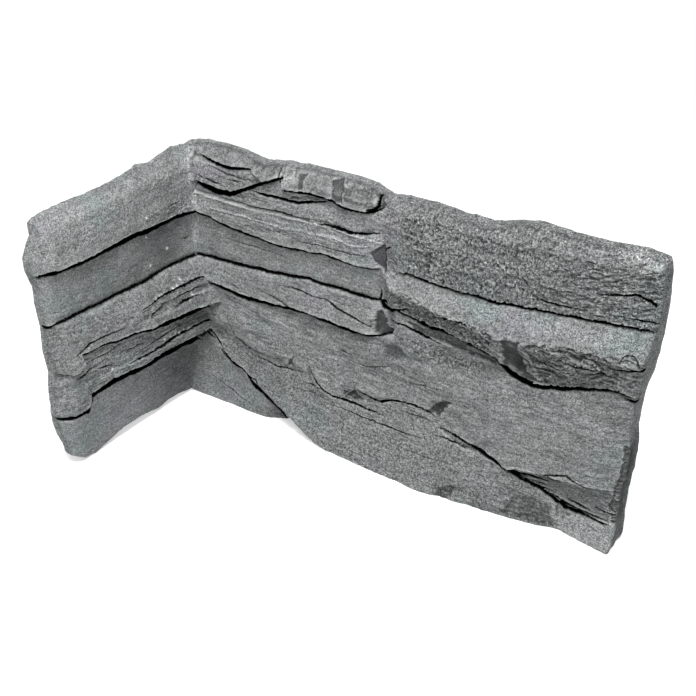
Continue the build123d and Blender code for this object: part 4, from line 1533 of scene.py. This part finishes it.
class CementGroup:
    """The shader group that both finishes share: mottle, sand grain and air holes."""

    name: str = "cement_body"

    def tree(self) -> bpy.types.NodeTree:
        """Return the group, built once."""
        if self.name in bpy.data.node_groups:
            return bpy.data.node_groups[self.name]
        tree = bpy.data.node_groups.new(self.name, "ShaderNodeTree")
        tree.interface.new_socket("Place", in_out="INPUT", socket_type="NodeSocketVector")
        for name in ("Mottle", "Sand", "Grains", "Holes", "Relief"):
            tree.interface.new_socket(name, in_out="OUTPUT", socket_type="NodeSocketFloat")
        kit = Nodes(tree)
        entry = kit.add("NodeGroupInput")
        leave = kit.add("NodeGroupOutput")
        place = entry.outputs["Place"]
        mottle = kit.noise(place, 60.0, 6.0, 0.65)
        sand = kit.noise(place, 1150.0, 3.0, 0.85)
        grains_node = kit.add("ShaderNodeTexVoronoi", feature="F1")
        grains_node.inputs["Scale"].default_value = 1450.0
        kit.feed(grains_node.inputs["Vector"], place)
        split = kit.add("ShaderNodeSeparateColor")
        kit.feed(split.inputs[0], grains_node.outputs["Color"])
        grains = split.outputs[0]
        holes_node = kit.add("ShaderNodeTexVoronoi", feature="F1")
        holes_node.inputs["Scale"].default_value = 420.0
        kit.feed(holes_node.inputs["Vector"], place)
        picked = kit.between(kit.noise(place, 260.0, 1.0), 0.62, 0.68)
        hole = kit.math("MULTIPLY", kit.between(holes_node.outputs["Distance"], 0.32, 0.12), picked)
        relief = kit.math("SUBTRACT", kit.math("MULTIPLY", sand, 0.6),
                          kit.math("MULTIPLY", hole, 0.9))
        relief = kit.math("ADD", relief, kit.math("MULTIPLY", grains, 0.1))
        for name, value in (("Mottle", mottle), ("Sand", sand), ("Grains", grains), ("Holes", hole),
                            ("Relief", relief)):
            kit.feed(leave.inputs[name], value)
        return tree


@dataclass(frozen=True)
class CastFinish:
    """What both finishes of the casting have in common: the cement body and the shader."""

    name: str
    roughness: float
    bump_strength: float
    bump_distance: float

    def begin(self) -> tuple[bpy.types.Material, Nodes, bpy.types.NodeSocket, bpy.types.Node]:
        """Start the material.

        Returns:
            The material, its nodes, the place on the piece and the cement group's node.
        """
        material = bpy.data.materials.new(self.name)
        kit = cleared(material)
        place = kit.add("ShaderNodeTexCoord").outputs["Object"]
        body = kit.add("ShaderNodeGroup")
        body.node_tree = CementGroup().tree()
        kit.feed(body.inputs["Place"], place)
        return material, kit, place, body

    def end(self, kit: Nodes, base: bpy.types.NodeSocket, height: bpy.types.NodeSocket,
            gloss: object) -> None:
        """Close the material.

        Args:
            kit: the material's nodes.
            base: its colour.
            height: the height that the bump follows.
            gloss: the specular level, a number or a socket.
        """
        bump = kit.add("ShaderNodeBump")
        bump.inputs["Strength"].default_value = self.bump_strength
        bump.inputs["Distance"].default_value = self.bump_distance
        kit.feed(bump.inputs["Height"], height)
        shader = kit.add("ShaderNodeBsdfPrincipled")
        kit.feed(shader.inputs["Base Color"], base)
        kit.feed(shader.inputs["Normal"], bump.outputs["Normal"])
        kit.feed(shader.inputs["Specular IOR Level"], gloss)
        shader.inputs["Roughness"].default_value = self.roughness
        output = kit.add("ShaderNodeOutputMaterial")
        kit.feed(output.inputs["Surface"], shader.outputs["BSDF"])


@dataclass(frozen=True)
class CastStone(CastFinish):
    """Slate-grey cast stone, paler on edges as part wear and part painted highlight, with painted
    shade in hollows and painted shadow black in the joints.
    """

    name: str = "cast_stone"
    roughness: float = 0.88
    bump_strength: float = 1.0
    bump_distance: float = 0.0016
    gloss: float = 0.35
    teal: Colour = (0.17, 0.222, 0.217, 1.0)
    plum: Colour = (0.222, 0.2, 0.235, 1.0)
    bedding_dark: Colour = (0.05, 0.052, 0.053, 1.0)
    wear_and_highlight_pale: Colour = (0.52, 0.54, 0.53, 1.0)
    speck_pale: Colour = (0.62, 0.63, 0.62, 1.0)
    hollow_shade: Colour = (0.03, 0.032, 0.033, 1.0)
    joint_shadow_black: Colour = (0.002, 0.002, 0.0022, 1.0)

    def material(self) -> bpy.types.Material:
        """Return the material."""
        material, kit, place, body = self.begin()

        def own(name: str) -> bpy.types.NodeSocket:
            """Return one of the piece's own values."""
            return kit.add("ShaderNodeAttribute", attribute_name=name).outputs["Fac"]

        mottle = kit.between(body.outputs["Mottle"], 0.3, 0.7)
        base = kit.mix(mottle, grey(0.168, -0.003, 0.003), grey(0.268, -0.005, 0.005))
        teal = kit.between(kit.noise(place, 23.0, 3.0, 0.55), 0.52, 0.72)
        base = kit.mix(kit.math("MULTIPLY", teal, 0.6), base, self.teal)
        plum = kit.between(kit.noise(place, 31.0, 2.0, 0.5), 0.56, 0.74)
        base = kit.mix(kit.math("MULTIPLY", plum, 0.45), base, self.plum)
        # The tone: each stone's own tone, with the painted light and shade of the layers, clouds, ribs
        # and corner.
        base = kit.mix(1.0, base, kit.math("ADD", own("tone"), 1.0), "MULTIPLY")
        sand = kit.between(body.outputs["Sand"], 0.36, 0.64)
        base = kit.mix(1.0, base, kit.math("ADD", sand, 0.5), "MULTIPLY")
        salt = kit.math("ADD", kit.math("MULTIPLY", own("grain"), 0.9), 0.8)
        salt = kit.math("MULTIPLY", kit.math("SUBTRACT", body.outputs["Grains"], 0.5), salt)
        base = kit.mix(1.0, base, kit.math("ADD", salt, 1.0), "MULTIPLY")
        stretch = kit.add("ShaderNodeVectorMath", operation="MULTIPLY")
        kit.feed(stretch.inputs[0], place)
        stretch.inputs[1].default_value = (1.0, 1.0, 0.75)
        flakes = kit.between(kit.noise(stretch.outputs[0], 560.0, 2.0, 0.65), 0.43, 0.57)
        scaly = own("scaly")
        flake_shade = kit.math("MULTIPLY", kit.math("SUBTRACT", flakes, 0.5),
                               kit.math("MULTIPLY", scaly, 0.62))
        base = kit.mix(1.0, base, kit.math("ADD", flake_shade, 1.0), "MULTIPLY")
        split = kit.add("ShaderNodeSeparateXYZ")
        kit.feed(split.inputs[0], place)
        layered = kit.add("ShaderNodeCombineXYZ")
        kit.feed(layered.inputs[0], kit.math("MULTIPLY", split.outputs[0], 60.0))
        kit.feed(layered.inputs[1], kit.math("MULTIPLY", split.outputs[1], 60.0))
        kit.feed(layered.inputs[2], kit.math("MULTIPLY", own("level"), 0.42))
        wave = kit.noise(layered.outputs[0], 1.0, 3.0, 0.6)
        edge = kit.math("ABSOLUTE", kit.math("SUBTRACT", wave, 0.5))
        seam = kit.math("MULTIPLY", kit.between(edge, 0.03, 0.0), own("bedding"))
        base = kit.mix(kit.math("MULTIPLY", seam, 0.3), base, self.bedding_dark)
        # Paler edges and joint rims: part wear, part painted highlight.
        base = kit.mix(kit.math("MULTIPLY", own("wear_and_highlight"), 0.72), base, self.wear_and_highlight_pale)
        specks_node = kit.add("ShaderNodeTexVoronoi", feature="F1")
        specks_node.inputs["Scale"].default_value = 130.0
        kit.feed(specks_node.inputs["Vector"], place)
        speck = kit.math("MULTIPLY", kit.between(specks_node.outputs["Distance"], 0.10, 0.07),
                         kit.between(kit.noise(place, 60.0, 1.0), 0.62, 0.66))
        base = kit.mix(kit.math("MULTIPLY", speck, 0.8), base, self.speck_pale)
        # Painted shade in the hollows.
        hollow = kit.math("MULTIPLY", own("hollow"), 0.72)
        base = kit.mix(hollow, base, self.hollow_shade)
        # Painted shadow: the joints, cracks and creases go black and lose their gloss.
        joint = kit.between(own("joint"), 0.15, 0.7)
        base = kit.mix(joint, base, self.joint_shadow_black)
        strength = kit.math("ADD", kit.math("MULTIPLY", own("grain"), 0.7), 0.6)
        height = kit.math("MULTIPLY", body.outputs["Relief"], strength)
        flake_rise = kit.math("MULTIPLY", flakes, kit.math("MULTIPLY", scaly, 0.65))
        height = kit.math("ADD", height, flake_rise)
        height = kit.math("SUBTRACT", height, kit.math("MULTIPLY", seam, 0.35))
        gloss = kit.math("MULTIPLY", kit.math("SUBTRACT", 1.0, joint), self.gloss)
        self.end(kit, base, height, gloss)
        return material


@dataclass(frozen=True)
class CastBack(CastFinish):
    """The plain flat back: pale cement with small air holes."""

    name: str = "cast_back"
    roughness: float = 0.92
    bump_strength: float = 0.4
    bump_distance: float = 0.0005
    gloss: float = 0.3

    def material(self) -> bpy.types.Material:
        """Return the material."""
        material, kit, _, body = self.begin()
        mottle = kit.between(body.outputs["Mottle"], 0.3, 0.7)
        base = kit.mix(mottle, grey(0.19, 0.004, 0.003), grey(0.27, 0.005, 0.004))
        base = kit.mix(kit.math("MULTIPLY", body.outputs["Holes"], 0.8), base, grey(0.05))
        self.end(kit, base, body.outputs["Relief"], self.gloss)
        return material


@dataclass
class Studio:
    """Pale floor, soft lamps and the camera at the photograph's angle."""

    floor_half: float = 1.5
    floor_glow: float = 0.45
    sky_light: float = 0.29
    aim: tuple[float, float, float] = (0.17, -0.08, 0.1)
    lens: float = 54.42
    eye: tuple[float, float, float] = (0.5128, -0.5544, 0.4480)
    yaw: float = -33.94
    pitch: float = 29.43
    roll: float = 0.68

    def floor(self) -> None:
        """Lay the floor."""
        bm = bmesh.new()
        bmesh.ops.create_grid(bm, x_segments=1, y_segments=1, size=self.floor_half)
        mesh = bpy.data.meshes.new("floor")
        bm.to_mesh(mesh)
        bm.free()
        plate = bpy.data.objects.new("floor", mesh)
        bpy.context.scene.collection.objects.link(plate)
        material = bpy.data.materials.new("floor_white")
        kit = cleared(material)
        matte = kit.add("ShaderNodeBsdfDiffuse")
        matte.inputs["Color"].default_value = (0.8, 0.8, 0.8, 1.0)
        glow = kit.add("ShaderNodeEmission")
        glow.inputs["Color"].default_value = (1.0, 1.0, 1.0, 1.0)
        kit.feed(glow.inputs["Strength"], self.seen(kit, self.floor_glow))
        both = kit.add("ShaderNodeAddShader")
        kit.feed(both.inputs[0], matte.outputs[0])
        kit.feed(both.inputs[1], glow.outputs[0])
        reach = kit.add("ShaderNodeVectorMath", operation="LENGTH")
        kit.feed(reach.inputs[0], kit.add("ShaderNodeTexCoord").outputs["Object"])
        faded = kit.add("ShaderNodeMixShader")
        kit.feed(faded.inputs[0], kit.between(reach.outputs["Value"], 0.5, 0.8))
        kit.feed(faded.inputs[1], both.outputs[0])
        kit.feed(faded.inputs[2], kit.add("ShaderNodeBsdfTransparent").outputs[0])
        output = kit.add("ShaderNodeOutputMaterial")
        kit.feed(output.inputs["Surface"], faded.outputs[0])
        mesh.materials.append(material)

    @staticmethod
    def seen(kit: Nodes, strength: float) -> bpy.types.NodeSocket:
        """Return a strength that holds only for rays that show the background."""
        path = kit.add("ShaderNodeLightPath")
        looked = kit.math("MAXIMUM", path.outputs["Is Camera Ray"], path.outputs["Is Glossy Ray"])
        looked = kit.math("MAXIMUM", looked, path.outputs["Is Transmission Ray"])
        return kit.math("MULTIPLY", looked, strength)

    def world(self) -> None:
        """Light the scene evenly, on a white background."""
        world = bpy.data.worlds.new("studio")
        bpy.context.scene.world = world
        kit = cleared(world)
        sky = kit.add("ShaderNodeBackground")
        sky.inputs["Color"].default_value = (1.0, 1.0, 1.0, 1.0)
        level = kit.math("ADD", self.seen(kit, 1 - self.sky_light), self.sky_light)
        kit.feed(sky.inputs["Strength"], level)
        output = kit.add("ShaderNodeOutputWorld")
        kit.feed(output.inputs["Surface"], sky.outputs[0])

    def lamp(self, name: str, place: tuple[float, float, float], size: float,
             power: float) -> None:
        """Hang one soft lamp.

        Args:
            name: the lamp's name.
            place: where it hangs, in metres.
            size: the side of its square face.
            power: watts.
        """
        light = bpy.data.lights.new(name, "AREA")
        light.size = size
        light.energy = power
        lamp = bpy.data.objects.new(name, light)
        direction = Vector(self.aim) - Vector(place)
        lamp.matrix_world = (Matrix.Translation(place)
                             @ direction.to_track_quat("-Z", "Y").to_matrix().to_4x4())
        bpy.context.scene.collection.objects.link(lamp)

    def camera(self) -> None:
        """Set the camera."""
        yaw, pitch, roll = (math.radians(value) for value in (self.yaw, self.pitch, self.roll))
        ahead = Vector((math.sin(yaw) * math.cos(pitch), math.cos(yaw) * math.cos(pitch),
                        -math.sin(pitch)))
        right = Vector((math.cos(yaw), -math.sin(yaw), 0.0))
        above = right.cross(ahead)
        turned_right = math.cos(roll) * right + math.sin(roll) * above
        turned_up = -math.sin(roll) * right + math.cos(roll) * above
        lens = bpy.data.cameras.new("camera")
        lens.lens = self.lens
        lens.sensor_width = 36.0
        lens.clip_start = 0.01
        camera = bpy.data.objects.new("camera", lens)
        axes = Matrix((turned_right, turned_up, -ahead)).transposed()
        camera.matrix_world = Matrix.Translation(self.eye) @ axes.to_4x4()
        bpy.context.scene.collection.objects.link(camera)
        bpy.context.scene.camera = camera

    def build(self) -> None:
        """Set up the whole studio."""
        self.floor()
        self.world()
        self.lamp("overhead", (0.45, -0.58, 1.48), 0.55, 30.6)
        self.lamp("front", (0.6, -1.2, 0.9), 0.9, 5.0)
        self.camera()
        bpy.context.scene.view_settings.view_transform = "Standard"


def main() -> None:
    """Build the panel and the studio, and report each."""
    logging.basicConfig(level=logging.INFO, format="%(name)s: %(message)s")
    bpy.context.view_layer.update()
    panel = CornerPanel().build(CastStone(), CastBack())
    log.info("built %s", panel.name)
    Studio().build()
    log.info("built the studio")


if __name__ == "__main__":
    main()
